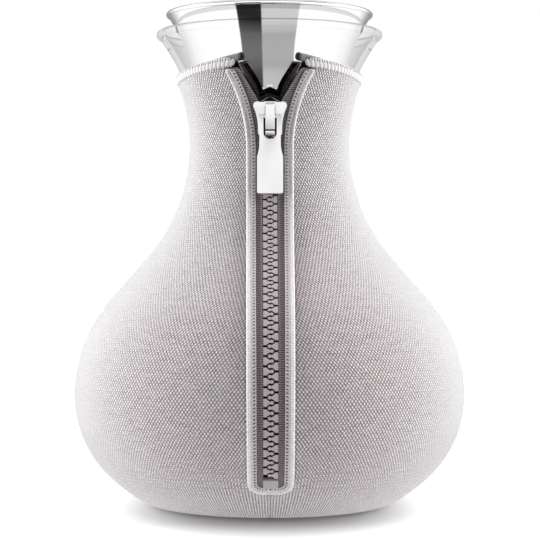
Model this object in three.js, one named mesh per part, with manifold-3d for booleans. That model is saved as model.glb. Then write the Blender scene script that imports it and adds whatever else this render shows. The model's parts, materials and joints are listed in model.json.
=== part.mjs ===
// A carafe tea maker: a glass carafe in a zipped knit cover, with a steel pouring funnel,
// a lid that flips open as it pours and a strainer that hangs into the brew.
// Millimetres, +Z up. The zip faces -Y, and the origin is on the floor under the middle of the base.

import * as THREE from 'three';
import { mergeVertices } from 'three/addons/utils/BufferGeometryUtils.js';
import Module from 'manifold-3d';

const wasm = await Module();
wasm.setup();

// Fits and fineness
const fitGap = 0.3; // between pieces that touch or slide on the real object
const runningGap = 0.25; // round a pin and between the zip's slider and its teeth
const roundSegments = 32; // facets round a large ring
const smallSegments = 20; // facets round a small ring

// Glass carafe, sizes of its outside
const glassBellyRadius = 73.2;
const bellyLowerArc = 40.7; // from the foot to the widest ring
const bellyUpperArc = 52.8; // from the widest ring up to the shoulder
const shoulderLength = 22.6; // straight part between the belly and the neck
const neckRadius = 28.6; // at the waist
const neckLevel = 139.7; // the waist over the floor
const glassWall = 2.2;
const lipRise = 42.9; // middle of the rim bead over the waist
const lipBead = 2.2; // radius of the rim bead

// Knit cover
const coverThickness = 1.8;
const coverClearance = 0.6; // between the cover and the glass
const collarRise = 25.8; // top of the collar over the waist, at the back
const collarFrontRise = 5.4; // how much higher the collar stands beside the zip
const collarWidth = 4.7;
const collarBulge = 0.5; // how far the folded collar stands out over the knit
const collarOverlap = 3.6; // how far the collar's ends reach over the zip's welt

// Zip
const zipEnd = 30.9; // along the cover from the foot up to the zip's round end
const neckOpenDrop = 2.7; // where the cover starts to open into a V, under the waist
const neckOpenSpread = 7.2; // how far the V's edges part, level with the collar's top at the back
const weltWidth = 3.3;
const weltRidge = 1.7; // top of the piping over the knit
const weltFacing = 1.0; // top of the stitched facing over the knit
const tapeTop = 0.1; // over the knit's surface
const tapeThickness = 0.5;
const tapeEndWidth = 4.2; // at the collar
const tapeSpread = 1.6; // how far the tapes part at the top of the slider
const toothPitch = 3.6;
const toothSpacing = 0.8; // between the feet of neighbouring teeth
const toothTop = 1.1; // over the knit's surface
const toothThickness = 2.0;
const toothFoot = 3.0; // from the middle of the zip to the back of a tooth
const toothFootFront = 1.1; // to the front of its foot
const toothNeckAt = 0.55; // to the thinnest part of its neck
const toothHeadAt = 0.4; // from the middle on to the widest part of its head
const toothReach = 0.82; // from the middle on to its tip
const cordWidth = 0.4; // the tape's corded edge behind the teeth
const stopLength = 4.2; // bottom stop, along the zip
const stopRise = 5.4; // from the zip's round end up to the bottom stop
const stopCorner = 1.2;
const topStopLength = 2.2;
const topStopInner = 1.3; // from the middle of the zip to a top stop

// Slider and pull tab
const sliderRise = 8.5; // middle of the closed slider over the waist
const sliderLength = 12.8;
const sliderWing = 1.8; // how far the wings stand out from the slider's waist
const sliderCorner = 1.2;
const flangeWidth = 1.0;
const sliderClearance = 0.6; // between the slider and the welt
const plateThickness = 0.9;
const lowerPlateThickness = 0.6;
const wedgeLength = 4.2;
const bridgeWidth = 3.5;
const bridgeBar = 0.9;
const bridgeLeg = 1.2;
const bridgeInset = 0.3; // from the slider's ends
const tabLength = 28.7; // from its pivot to its end
const tabThickness = 1.2;
const tabEndHalf = 4.85;
const tabArmHalf = 4.45;
const tabWaistHalf = 3.95;
const tabWaistTop = 6.9; // from the pivot to the start of the waist
const tabWaistEnd = 11.5; // to the end of the waist
const tabFlareEnd = 14.4; // to the start of the square end
const tabWindowLength = 8.5; // to the window's round end
const tabWindowGap = 0.55; // beside the bridge
const tabPinRadius = 0.75;
const tabPivotRise = 0.8; // pivot over the slider's middle, along the zip

// Pouring head
const rimInset = 3.0; // the steel rim's edge inside the glass rim bead
const rimRise = 8.0; // the steel rim over the glass rim bead
const funnelWall = 0.8;
const flareGap = 1.5; // between the funnel and the glass where they come nearest
const mouthGap = 5.6; // the same level with the glass rim
const tubeReach = 3; // how far the funnel's tube goes below the waist
const sealBody = 1.1; // thickness of the silicone sleeve
const sealLips = 3;
const sealLength = 16.5;
const lidSeatRise = 32; // top of the lid's seat over the waist
const lidSeatHeight = 3;
const lidSeatOverlap = 3.2; // how far the lid rests on its seat
const lidThickness = 1.2;
const lidDome = 0.9; // how much the lid swells in its middle
const gasketWidth = 2.6;
const gasketThickness = 1.2;
const hingeSetback = 2.1; // from the lid's edge to the hinge pin's middle
const knuckleRadius = 1.5;
const knuckleHalf = 4.7;
const lugWidth = 2.2;
const lugWall = 0.65; // round the pin's bore
const hingePinRadius = 0.8;

// Strainer
const strainerDepth = 74; // from the funnel's tube down to the strainer's foot
const strainerFloorRadius = 14.5;
const meshThickness = 0.7;
const plugLength = 6; // the part of the collar inside the funnel's tube
const plugWall = 1.4;
const plugFlange = 5; // height of the flange under the tube
const ribCount = 4;
const ribWidth = 1.8;
const ribDepth = 1.5;
const footRingHeight = 2.5;

// The cover's outside in side view: a lower and an upper belly arc, a short straight shoulder
// and the neck's arc. The glass is the same curve, set in by the cover and its clearance. The
// neck's arc is the one that meets the shoulder smoothly and reaches the neck's radius at the waist.
const coverOffset = coverThickness + coverClearance;
const footRadius = glassBellyRadius - bellyLowerArc;
const bellyLevel = coverOffset + bellyLowerArc;
const lowerRadius = bellyLowerArc + coverOffset;
const upperRadius = bellyUpperArc + coverOffset;
const upperCentre = glassBellyRadius - bellyUpperArc;
const waistRun = neckRadius - upperCentre;
const waistClimb = neckLevel - bellyLevel;
const neckArc = (waistRun ** 2 + waistClimb ** 2 - shoulderLength ** 2 - bellyUpperArc ** 2)
  / (2 * (bellyUpperArc - waistRun));
const neckCurveRadius = neckArc - coverOffset;
const neckCentre = neckRadius + neckArc;
const centreSpan = Math.hypot(waistRun + neckArc, waistClimb);
const centreSlope = Math.atan2(waistClimb, waistRun + neckArc);
const shoulderAngle = centreSlope - Math.acos((bellyUpperArc + neckArc) / centreSpan);
const lowerLength = lowerRadius * Math.PI / 2;
const upperLength = upperRadius * shoulderAngle;
const neckStart = lowerLength + upperLength + shoulderLength;
const lipLevel = neckLevel + lipRise;

// The point a distance along that curve from the foot: radius, height and the normal's slope.
function profileAt(along) {
  if (along < lowerLength) {
    const slope = along / lowerRadius - Math.PI / 2;
    const radius = footRadius + lowerRadius * Math.cos(slope);
    return { radius, height: bellyLevel + lowerRadius * Math.sin(slope), slope };
  }
  if (along < lowerLength + upperLength) {
    const slope = (along - lowerLength) / upperRadius;
    const radius = upperCentre + upperRadius * Math.cos(slope);
    return { radius, height: bellyLevel + upperRadius * Math.sin(slope), slope };
  }
  if (along < neckStart) {
    const slope = shoulderAngle;
    const run = along - lowerLength - upperLength;
    const radius = upperCentre + upperRadius * Math.cos(slope) - run * Math.sin(slope);
    const height = bellyLevel + upperRadius * Math.sin(slope) + run * Math.cos(slope);
    return { radius, height, slope };
  }
  const slope = shoulderAngle - (along - neckStart) / neckCurveRadius;
  const radius = neckCentre - neckCurveRadius * Math.cos(slope);
  return { radius, height: neckLevel - neckCurveRadius * Math.sin(slope), slope };
}

// The distance along the curve at which it reaches a height.
function lengthAtHeight(height) {
  let low = 0;
  let high = neckStart + neckCurveRadius * (shoulderAngle + Math.PI / 3);
  for (let step = 0; step < 50; step += 1) {
    const middle = (low + high) / 2;
    if (profileAt(middle).height < height) low = middle;
    else high = middle;
  }
  return (low + high) / 2;
}

// Radius and height of the curve moved out by a distance along its normal.
function offsetAt(along, out) {
  const { radius, height, slope } = profileAt(along);
  return new THREE.Vector2(radius + out * Math.cos(slope), height + out * Math.sin(slope));
}

// A point on the cover, by its angle from the front, and by its distance from the middle of the front.
function pointAtAngle(angle, along, out) {
  const { x, y } = offsetAt(along, out);
  return new THREE.Vector3(x * Math.sin(angle), -x * Math.cos(angle), y);
}

function pointAcross(across, along, out) {
  return pointAtAngle(Math.asin(across / profileAt(along).radius), along, out);
}

// A group that stands on the zip's line: X across, Y up the zip, Z out of the cover.
function groupOnZip(along) {
  const group = new THREE.Group();
  group.position.copy(pointAcross(0, along, 0));
  group.rotation.x = Math.PI / 2 - profileAt(along).slope;
  return group;
}

// One closed, welded geometry with its faces pointing out.
function weld(geometry) {
  const bare = new THREE.BufferGeometry();
  bare.setAttribute('position', geometry.getAttribute('position'));
  if (geometry.index) bare.setIndex(geometry.index);
  const welded = mergeVertices(bare, 1e-4);
  const position = welded.getAttribute('position');
  const source = welded.index.array;
  const corners = [0, 1, 2].map(() => new THREE.Vector3());
  const kept = [];
  let volume = 0;
  for (let i = 0; i < source.length; i += 3) {
    const face = [source[i], source[i + 1], source[i + 2]];
    if (new Set(face).size < 3) continue;
    face.forEach((vertex, k) => corners[k].fromBufferAttribute(position, vertex));
    volume += corners[0].dot(corners[1].clone().cross(corners[2]));
    kept.push(face);
  }
  if (volume < 0) kept.forEach((face) => face.reverse());
  welded.setIndex(kept.flat());
  return welded;
}

function geometryFrom(points, faces) {
  const geometry = new THREE.BufferGeometry().setFromPoints(points);
  geometry.setIndex(faces.flat());
  return weld(geometry);
}

// A turned piece: the profile is a list of [radius, height] pairs, revolved about Z.
function turned(profile, segments) {
  const points = profile.map(([radius, height]) => new THREE.Vector2(radius, height));
  return weld(new THREE.LatheGeometry(points, segments).rotateX(Math.PI / 2));
}

// A flat piece: a shape in XY, thickened along +Z from a level.
function plate(shape, level, thickness) {
  const options = { depth: thickness, bevelEnabled: false, curveSegments: 6 };
  return weld(new THREE.ExtrudeGeometry(shape, options).translate(0, 0, level));
}

// A side piece: a shape of Y and Z, thickened along X by a width either side of its middle.
function sidePlate(shape, middle, width) {
  const geometry = plate(shape, -width / 2, width);
  const turn = new THREE.Matrix4().makeBasis(
    new THREE.Vector3(0, 1, 0), new THREE.Vector3(0, 0, 1), new THREE.Vector3(1, 0, 0));
  return geometry.applyMatrix4(turn).translate(middle, 0, 0);
}

function shapeOf(points) {
  return new THREE.Shape(points.map(([x, y]) => new THREE.Vector2(x, y)));
}

// A shape alike left and right, from the path of its right side, middle to middle.
function symmetricShape(rightSide, curveSegments) {
  const right = rightSide.getPoints(curveSegments);
  const left = right.slice(1, -1).reverse().map(({ x, y }) => new THREE.Vector2(-x, y));
  return new THREE.Shape([...right, ...left]);
}

// A round bar along X.
function barAlongX(radius, half, y, z) {
  const bar = new THREE.CylinderGeometry(radius, radius, 2 * half, smallSegments / 2);
  return weld(bar.rotateZ(Math.PI / 2).translate(0, y, z));
}

function solidOf(geometry) {
  const vertProperties = Float32Array.from(geometry.getAttribute('position').array);
  const triVerts = Uint32Array.from(geometry.index.array);
  return new wasm.Manifold(new wasm.Mesh({ numProp: 3, vertProperties, triVerts }));
}

function geometryOf(solid) {
  const { vertProperties, triVerts } = solid.getMesh();
  const geometry = new THREE.BufferGeometry();
  geometry.setAttribute('position', new THREE.Float32BufferAttribute(vertProperties, 3));
  geometry.setIndex(Array.from(triVerts));
  return weld(geometry);
}

function joined(geometries) {
  return geometryOf(geometries.map(solidOf).reduce((sum, solid) => sum.add(solid)));
}

function cut(geometry, tool) {
  return geometryOf(solidOf(geometry).subtract(solidOf(tool)));
}

// A sheet with thickness: a grid of points on its outer and its inner face, closed round the edge.
function sheet(rows, columns, pointAt) {
  const points = [];
  for (const face of [0, 1]) {
    for (let i = 0; i <= rows; i += 1) {
      for (let j = 0; j <= columns; j += 1) points.push(pointAt(i, j, face));
    }
  }
  const at = (i, j, face) => (face * (rows + 1) + i) * (columns + 1) + j;
  const faces = [];
  const quad = (a, b, c, d) => faces.push([a, b, c], [a, c, d]);
  for (let i = 0; i < rows; i += 1) {
    for (let j = 0; j < columns; j += 1) {
      quad(at(i, j, 0), at(i, j + 1, 0), at(i + 1, j + 1, 0), at(i + 1, j, 0));
      quad(at(i, j, 1), at(i + 1, j, 1), at(i + 1, j + 1, 1), at(i, j + 1, 1));
    }
  }
  for (let i = 0; i < rows; i += 1) {
    quad(at(i, 0, 0), at(i + 1, 0, 0), at(i + 1, 0, 1), at(i, 0, 1));
    quad(at(i, columns, 1), at(i + 1, columns, 1), at(i + 1, columns, 0), at(i, columns, 0));
  }
  for (let j = 0; j < columns; j += 1) {
    quad(at(0, j, 1), at(0, j + 1, 1), at(0, j + 1, 0), at(0, j, 0));
    quad(at(rows, j, 0), at(rows, j + 1, 0), at(rows, j + 1, 1), at(rows, j, 1));
  }
  return geometryFrom(points, faces);
}

// A bar with a changing section: rings of points in the same order, closed at both ends.
function loft(rings) {
  const size = rings[0].length;
  const last = (rings.length - 1) * size;
  const faces = [];
  for (let i = 0; i + 1 < rings.length; i += 1) {
    for (let k = 0; k < size; k += 1) {
      const near = i * size + k;
      const next = i * size + (k + 1) % size;
      faces.push([near, next, next + size], [near, next + size, near + size]);
    }
  }
  for (let k = 1; k + 1 < size; k += 1) faces.push([0, k + 1, k], [last, last + k, last + k + 1]);
  return geometryFrom(rings.flat(), faces);
}

function steps(from, to, count) {
  return Array.from({ length: count + 1 }, (_, i) => from + (to - from) * i / count);
}

// Glass carafe: one wall from the foot to a round rim bead.
const glassMiddle = neckArc + glassWall / 2;
const lipAngle = Math.asin((lipLevel - neckLevel) / glassMiddle);
const beadSeat = Math.sqrt(lipBead ** 2 - (glassWall / 2) ** 2);
const glassTop = neckStart + neckCurveRadius * (shoulderAngle + lipAngle - beadSeat / glassMiddle);
const lipRadius = neckCentre - glassMiddle * Math.cos(lipAngle);
const glassStations = [
  ...steps(0, lowerLength, 5),
  ...steps(lowerLength, lowerLength + upperLength, 3).slice(1),
  ...steps(neckStart, glassTop, 8),
];

function glassCarafe() {
  const outer = glassStations.map((along) => offsetAt(along, -coverOffset).toArray());
  const inner = glassStations.map((along) => offsetAt(along, -coverOffset - glassWall).toArray());
  const beadStart = Math.PI - Math.asin(glassWall / 2 / lipBead);
  const bead = steps(beadStart, -beadStart, 6).slice(1, -1).map((turn) => {
    const up = lipBead * Math.cos(turn);
    const out = lipBead * Math.sin(turn);
    const radius = lipRadius + up * Math.sin(lipAngle) + out * Math.cos(lipAngle);
    return [radius, lipLevel + up * Math.cos(lipAngle) - out * Math.sin(lipAngle)];
  });
  const foot = [0, coverOffset];
  const floor = [0, coverOffset + glassWall];
  return turned([foot, ...outer, ...bead, ...inner.reverse(), floor], roundSegments);
}

function glassInnerRadius(height) {
  return neckCentre - Math.sqrt((neckArc + glassWall) ** 2 - (height - neckLevel) ** 2);
}

// Pouring funnel: a straight tube in the neck that flares along the glass to a turned-out rim.
const tubeBottom = neckLevel - tubeReach;
const tubeRadius = glassInnerRadius(neckLevel) - 2 * fitGap - sealBody - funnelWall / 2;
const tubeTop = tubeBottom + sealLength + 2 * fitGap;
const flarePoints = steps(0, 1, 4).slice(1).map((part) => {
  const level = tubeTop + part * (lipLevel - tubeTop);
  const gap = flareGap + (mouthGap - flareGap) * part ** 3;
  return [glassInnerRadius(level) - gap - funnelWall / 2, level];
});
const rimRadius = lipRadius - rimInset;
const funnelCurve = new THREE.SplineCurve([
  [tubeRadius, tubeTop],
  ...flarePoints,
  [rimRadius, lipLevel + rimRise],
].map(([radius, height]) => new THREE.Vector2(radius, height)));
const funnelMiddle = [new THREE.Vector2(tubeRadius, tubeBottom), ...funnelCurve.getPoints(8)];

// The funnel's wall, a distance out from its middle surface.
function funnelSide(out) {
  return funnelMiddle.map((point, i) => {
    const before = funnelMiddle[Math.max(i - 1, 0)];
    const after = funnelMiddle[Math.min(i + 1, funnelMiddle.length - 1)];
    const along = after.clone().sub(before).normalize();
    return [point.x + out * along.y, point.y - out * along.x];
  });
}

function funnelInnerRadius(height) {
  const side = funnelSide(-funnelWall / 2);
  const i = side.findIndex(([, level]) => level > height);
  const [lowRadius, low] = side[i - 1];
  const [highRadius, high] = side[i];
  return lowRadius + (highRadius - lowRadius) * (height - low) / (high - low);
}

function pouringFunnel() {
  const outer = funnelSide(funnelWall / 2);
  const inner = funnelSide(-funnelWall / 2).reverse();
  return turned([...outer, ...inner, outer[0]], roundSegments);
}

// Neck seal: a silicone sleeve on the funnel's tube with thin lips that press on the glass.
function neckSeal() {
  const bore = tubeRadius + funnelWall / 2 + fitGap;
  const bottom = tubeBottom + fitGap;
  const lipPitch = sealLength / sealLips;
  const profile = [[bore, bottom]];
  for (let lip = 0; lip < sealLips; lip += 1) {
    const root = bottom + lip * lipPitch;
    const tip = root + 0.75 * lipPitch;
    const body = bore + sealBody / 2;
    profile.push([body, root], [glassInnerRadius(tip) - fitGap, tip], [body, root + 0.95 * lipPitch]);
  }
  profile.push([bore, bottom + sealLength], [bore, bottom]);
  return turned(profile, roundSegments);
}

// Lid seat: a ring set in the funnel, with two lugs at the back for the hinge pin.
const lidSeatLevel = neckLevel + lidSeatRise;
const gasketLevel = lidSeatLevel + fitGap;
const lidLevel = gasketLevel + gasketThickness + fitGap;
const hingeLevel = lidLevel + lidThickness / 2;
const pinBore = hingePinRadius + runningGap;
const lugRadius = pinBore + lugWall;
const lugMiddle = knuckleHalf + fitGap + lugWidth / 2;
const lugOuter = lugMiddle + lugWidth / 2;
const seatBottom = lidSeatLevel - lidSeatHeight;
const seatFootRadius = funnelInnerRadius(seatBottom) - fitGap;
const hingeY = Math.sqrt(seatFootRadius ** 2 - lugOuter ** 2) - lugRadius;
const lidRadius = hingeY - hingeSetback;
const lidSeatBore = lidRadius - lidSeatOverlap;

function roundedLug(bottom) {
  const shape = new THREE.Shape();
  shape.moveTo(hingeY - lugRadius, bottom);
  shape.lineTo(hingeY + lugRadius, bottom);
  shape.lineTo(hingeY + lugRadius, hingeLevel);
  shape.absarc(hingeY, hingeLevel, lugRadius, 0, Math.PI, false);
  const bore = new THREE.Path().absarc(hingeY, hingeLevel, pinBore, 0, 2 * Math.PI, true);
  shape.holes.push(bore);
  return shape;
}

function lidSeat() {
  const ring = turned([
    [lidSeatBore, seatBottom],
    [seatFootRadius, seatBottom],
    [funnelInnerRadius(lidSeatLevel) - fitGap, lidSeatLevel],
    [lidSeatBore, lidSeatLevel],
    [lidSeatBore, seatBottom],
  ], roundSegments);
  const lugs = [-lugMiddle, lugMiddle].map((middle) => (
    sidePlate(roundedLug(lidSeatLevel - lidSeatHeight / 2), middle, lugWidth)));
  return joined([ring, ...lugs]);
}

function hingePin() {
  return barAlongX(hingePinRadius, lugOuter, hingeY, hingeLevel);
}

// Flip lid: a domed steel disc with a knuckle behind it on the hinge pin.
function flipLid() {
  const top = lidLevel + lidThickness;
  const disc = turned([
    [0, lidLevel],
    [lidRadius, lidLevel],
    [lidRadius, top],
    [lidRadius * 0.7, top + lidDome * 0.6],
    [0, top + lidDome],
  ], roundSegments);
  const tongue = new THREE.BoxGeometry(2 * knuckleHalf - lugWidth, 2 * hingeSetback, lidThickness);
  tongue.translate(0, hingeY - hingeSetback, hingeLevel);
  const knuckle = barAlongX(knuckleRadius, knuckleHalf, hingeY, hingeLevel);
  const bore = barAlongX(pinBore, knuckleHalf + fitGap, hingeY, hingeLevel);
  return cut(joined([disc, weld(tongue), knuckle]), bore);
}

function lidGasket() {
  return turned([
    [lidRadius - gasketWidth, gasketLevel],
    [lidRadius, gasketLevel],
    [lidRadius, gasketLevel + gasketThickness],
    [lidRadius - gasketWidth, gasketLevel + gasketThickness],
    [lidRadius - gasketWidth, gasketLevel],
  ], roundSegments);
}

// Strainer: a moulded frame that plugs into the funnel's tube, with a tapered mesh cup inside its ribs.
const strainerFloor = tubeBottom - strainerDepth;
const flangeBottom = tubeBottom - plugFlange;
const meshTop = flangeBottom - fitGap;
const meshBottom = strainerFloor + footRingHeight + fitGap;
const plugRadius = tubeRadius - funnelWall / 2 - fitGap;
const strainerTopRadius = plugRadius - ribDepth - fitGap;

function strainerFrame() {
  const collar = turned([
    [plugRadius - plugWall, flangeBottom],
    [tubeRadius + funnelWall / 2, flangeBottom],
    [tubeRadius + funnelWall / 2, tubeBottom - fitGap],
    [plugRadius, tubeBottom - fitGap],
    [plugRadius, tubeBottom + plugLength],
    [plugRadius - plugWall, tubeBottom + plugLength],
    [plugRadius - plugWall, flangeBottom],
  ], smallSegments);
  const top = strainerTopRadius + fitGap;
  const low = strainerFloorRadius + fitGap;
  const footRing = turned([
    [low - ribDepth, strainerFloor],
    [low + ribDepth, strainerFloor],
    [low + ribDepth, strainerFloor + footRingHeight],
    [low - ribDepth, strainerFloor + footRingHeight],
    [low - ribDepth, strainerFloor],
  ], smallSegments);
  const rib = shapeOf([
    [low, strainerFloor + footRingHeight / 2],
    [low + ribDepth, strainerFloor + footRingHeight / 2],
    [top + ribDepth, flangeBottom + plugFlange / 2],
    [top, flangeBottom + plugFlange / 2],
  ]);
  const ribs = Array.from({ length: ribCount }, (_, i) => (
    sidePlate(rib, 0, ribWidth).rotateZ((i + 0.5) * 2 * Math.PI / ribCount)));
  return joined([collar, footRing, ...ribs]);
}

function strainerMesh() {
  return turned([
    [0, meshBottom],
    [strainerFloorRadius, meshBottom],
    [strainerTopRadius, meshTop],
    [strainerTopRadius - meshThickness, meshTop],
    [strainerFloorRadius - meshThickness, meshBottom + meshThickness],
    [0, meshBottom + meshThickness],
  ], smallSegments);
}

// Cover panels: two halves that meet in a seam at the back and below the zip, and stand apart along it.
const sliderWaistHalf = toothFoot + 2 * runningGap + flangeWidth;
const zipHalf = sliderWaistHalf + sliderClearance + weltWidth + fitGap;
const neckOpenStart = lengthAtHeight(neckLevel - neckOpenDrop);
const neckOpenLength = lengthAtHeight(neckLevel + collarRise) - neckOpenStart;
const frontColumns = 3;
const columnStep = 2 * Math.PI / roundSegments;
const firstColumn = 3 * columnStep;
const panelColumns = frontColumns + Math.round((Math.PI - firstColumn) / columnStep);

function panelEdge(along) {
  const rise = along - zipEnd;
  if (rise <= 0) return fitGap / 2;
  if (rise < zipHalf) return Math.max(fitGap / 2, Math.sqrt(zipHalf ** 2 - (zipHalf - rise) ** 2));
  return zipHalf + neckOpenSpread * (Math.max(0, along - neckOpenStart) / neckOpenLength) ** 2;
}

// The collar's top and the panels' top edge, at an angle from the front.
function collarTop(angle) {
  return lengthAtHeight(neckLevel + collarRise + collarFrontRise * ((1 + Math.cos(angle)) / 2) ** 3);
}

function panelTop(angle) {
  return collarTop(angle) - collarWidth - fitGap;
}

const panelRows = [
  ...steps(0, zipEnd, 4),
  ...[0.05, 0.2, 0.45, 1].map((part) => zipEnd + part * zipHalf),
  ...glassStations.filter((along) => along > zipEnd + 1.3 * zipHalf && along < neckOpenStart - zipHalf),
  neckOpenStart,
];
const openRows = 3;

function panelPoint(row, column, out) {
  const angleAt = (along) => {
    const { radius } = profileAt(along);
    const front = Math.asin(panelEdge(along) / radius);
    if (column < frontColumns) return front + (firstColumn - front) * column / frontColumns;
    const angle = firstColumn + (column - frontColumns) * columnStep;
    return Math.min(angle, Math.PI - fitGap / 2 / radius);
  };
  const part = (row - panelRows.length + 1) / openRows;
  if (part <= 0) return pointAtAngle(angleAt(panelRows[row]), panelRows[row], out);
  let along = neckOpenStart;
  for (let settle = 0; settle < 6; settle += 1) {
    along = neckOpenStart + part * (panelTop(angleAt(along)) - neckOpenStart);
  }
  return pointAtAngle(angleAt(along), along, out);
}

function mirrored(geometry) {
  return weld(geometry.clone().scale(-1, 1, 1));
}

function coverPanelRight() {
  return sheet(panelRows.length - 1 + openRows, panelColumns, (row, column, face) => (
    panelPoint(row, column, -face * coverThickness)));
}

function coverBase() {
  const radius = footRadius - fitGap;
  return turned([[0, 0], [radius, 0], [radius, coverThickness], [0, coverThickness]], roundSegments);
}

// Where the edge of the V meets the collar.
function edgeTop() {
  let along = neckOpenStart;
  for (let settle = 0; settle < 12; settle += 1) {
    along = panelTop(Math.asin(panelEdge(along) / profileAt(along).radius));
  }
  return along;
}

const vTop = edgeTop();

// Collar binding: a folded band over the cover's top edge, on each side from the V to the back.
function neckBindingRight() {
  const front = Math.asin((panelEdge(vTop) - collarOverlap) / profileAt(vTop).radius);
  const back = Math.PI - fitGap / 2 / neckRadius;
  const section = [
    [0, -coverThickness],
    [0, 0],
    [0.25, collarBulge],
    [0.8, collarBulge],
    [1, -fitGap],
    [1, -coverThickness],
  ];
  return loft(steps(front, back, panelColumns - 1).map((angle) => section.map(([part, out]) => (
    pointAtAngle(angle, collarTop(angle) - collarWidth * (1 - part), out)))));
}

// Zip welt: piping and a stitched facing round the zip's opening, in one length from collar to collar.
const weltOuter = zipHalf - fitGap;
const weltSection = [
  [0, tapeTop + fitGap],
  [0, 0.7 * weltRidge],
  [0.14, weltRidge],
  [0.36, weltRidge],
  [0.5, weltFacing],
  [1, weltFacing - 0.1],
  [1, tapeTop + fitGap],
];

function zipWelt() {
  const turnCentre = zipEnd + zipHalf;
  const side = [...steps(turnCentre, neckOpenStart, 12), ...steps(neckOpenStart, vTop, 4).slice(1)];
  const straight = (sign) => side.map((along) => weltSection.map(([part, out]) => (
    pointAcross(sign * (panelEdge(along) - fitGap - part * weltWidth), along, out))));
  const bend = steps(0, Math.PI, 8).slice(1, -1).map((turn) => weltSection.map(([part, out]) => {
    const radius = weltOuter - part * weltWidth;
    return pointAcross(-radius * Math.cos(turn), turnCentre - radius * Math.sin(turn), out);
  }));
  return loft([...straight(-1).reverse(), ...bend, ...straight(1)]);
}

// Zip tape: from the teeth out to the panel's edge; it closes under the bottom stop and ends at the collar.
const sliderAlong = lengthAtHeight(neckLevel + sliderRise);
const stopBottom = zipEnd + stopRise;
const stopTop = stopBottom + stopLength;
const toothBottom = toothTop - toothThickness;

function zipTapeRight() {
  const sliderTop = sliderAlong + sliderLength / 2;
  const besideTeeth = toothFoot + fitGap;
  const inner = [
    [zipEnd + 0.2 * zipHalf, fitGap / 2],
    [stopBottom - 2 * fitGap, fitGap / 2],
    [stopBottom - fitGap, besideTeeth],
    ...steps(zipEnd + zipHalf, neckOpenStart, 14).slice(1).map((along) => [along, besideTeeth]),
    [sliderAlong, besideTeeth],
    [sliderTop, besideTeeth + tapeSpread],
    [vTop, panelEdge(vTop) - fitGap - tapeEndWidth],
  ];
  return sheet(inner.length - 1, 1, (row, column, face) => {
    const [along, innerEdge] = inner[row];
    const across = column === 0 ? innerEdge : panelEdge(along) - fitGap;
    return pointAcross(across, along, tapeTop - face * tapeThickness);
  });
}

// Zip teeth: a row of moulded teeth on the tape's corded edge. The heads of one row sit between the
// necks of the other, half a pitch on. One cell is a tooth with its piece of the cord.
const headHalf = toothPitch / 4;
const neckHalf = headHalf - toothSpacing / 2;
const footHalf = (toothPitch - toothSpacing) / 2;
const cordInner = toothFoot - cordWidth;
const toothHalf = [
  [cordInner, footHalf],
  [toothFootFront, footHalf],
  [toothNeckAt, neckHalf],
  [-toothHeadAt, headHalf],
  [-toothReach, headHalf / 2],
];

function toothRow(firstTooth, count) {
  const half = toothPitch / 2;
  const lower = toothHalf.map(([across, along]) => [across, -along]);
  const upper = [...toothHalf].reverse();
  const outline = [
    [toothFoot, -half],
    [cordInner, -half],
    ...lower,
    ...upper,
    [cordInner, half],
    [toothFoot, half],
  ];
  const contour = outline.map(([x, y]) => new THREE.Vector2(x, y));
  const caps = THREE.ShapeUtils.triangulateShape(contour, []);
  const size = outline.length;
  const points = [];
  const faces = [];
  for (let tooth = 0; tooth < count; tooth += 1) {
    const middle = firstTooth + tooth * toothPitch;
    const base = points.length;
    for (const out of [toothTop, toothBottom]) {
      for (const [across, along] of outline) points.push(pointAcross(across, middle + along, out));
    }
    for (const [a, b, c] of caps) {
      faces.push([base + a, base + b, base + c], [base + size + c, base + size + b, base + size + a]);
    }
    for (let k = 0; k < size; k += 1) {
      const next = (k + 1) % size;
      const sharedBelow = k === 0 && tooth > 0;
      const sharedAbove = k === size - 2 && tooth + 1 < count;
      if (sharedBelow || sharedAbove) continue;
      faces.push([base + k, base + next, base + size + next], [base + k, base + size + next, base + size + k]);
    }
  }
  return geometryFrom(points, faces);
}

const firstTooth = stopTop + fitGap + toothPitch / 2;
const toothCount = Math.floor((sliderAlong - firstTooth) / toothPitch);

function zipTeethRight() {
  return toothRow(firstTooth, toothCount);
}

function zipTeethLeft() {
  return mirrored(toothRow(firstTooth + toothPitch / 2, toothCount));
}

// Bottom stop: a block clamped over both rows of teeth, with round lower corners.
function zipBottomStop() {
  const half = stopLength / 2;
  const side = new THREE.Path();
  side.moveTo(0, half);
  side.lineTo(toothFoot, half);
  side.lineTo(toothFoot, stopCorner - half);
  side.absarc(toothFoot - stopCorner, stopCorner - half, stopCorner, 0, -Math.PI / 2, true);
  side.lineTo(0, -half);
  return plate(symmetricShape(side, 3), toothBottom, toothThickness + fitGap);
}

function zipTopStopRight() {
  const shape = shapeOf([
    [topStopInner, 0],
    [toothFoot, 0],
    [toothFoot, topStopLength],
    [topStopInner, topStopLength],
  ]);
  return plate(shape, toothBottom, toothThickness);
}

// Slider: two plates joined by a wedge, with flanges that hold the closed teeth together.
const sliderHalf = sliderLength / 2;
const sliderSag = neckCurveRadius - Math.sqrt(neckCurveRadius ** 2 - sliderHalf ** 2);
const upperPlateLevel = toothTop + runningGap + sliderSag;
const upperPlateTop = upperPlateLevel + plateThickness;
const lowerPlateLevel = toothBottom - runningGap - lowerPlateThickness;

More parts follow.
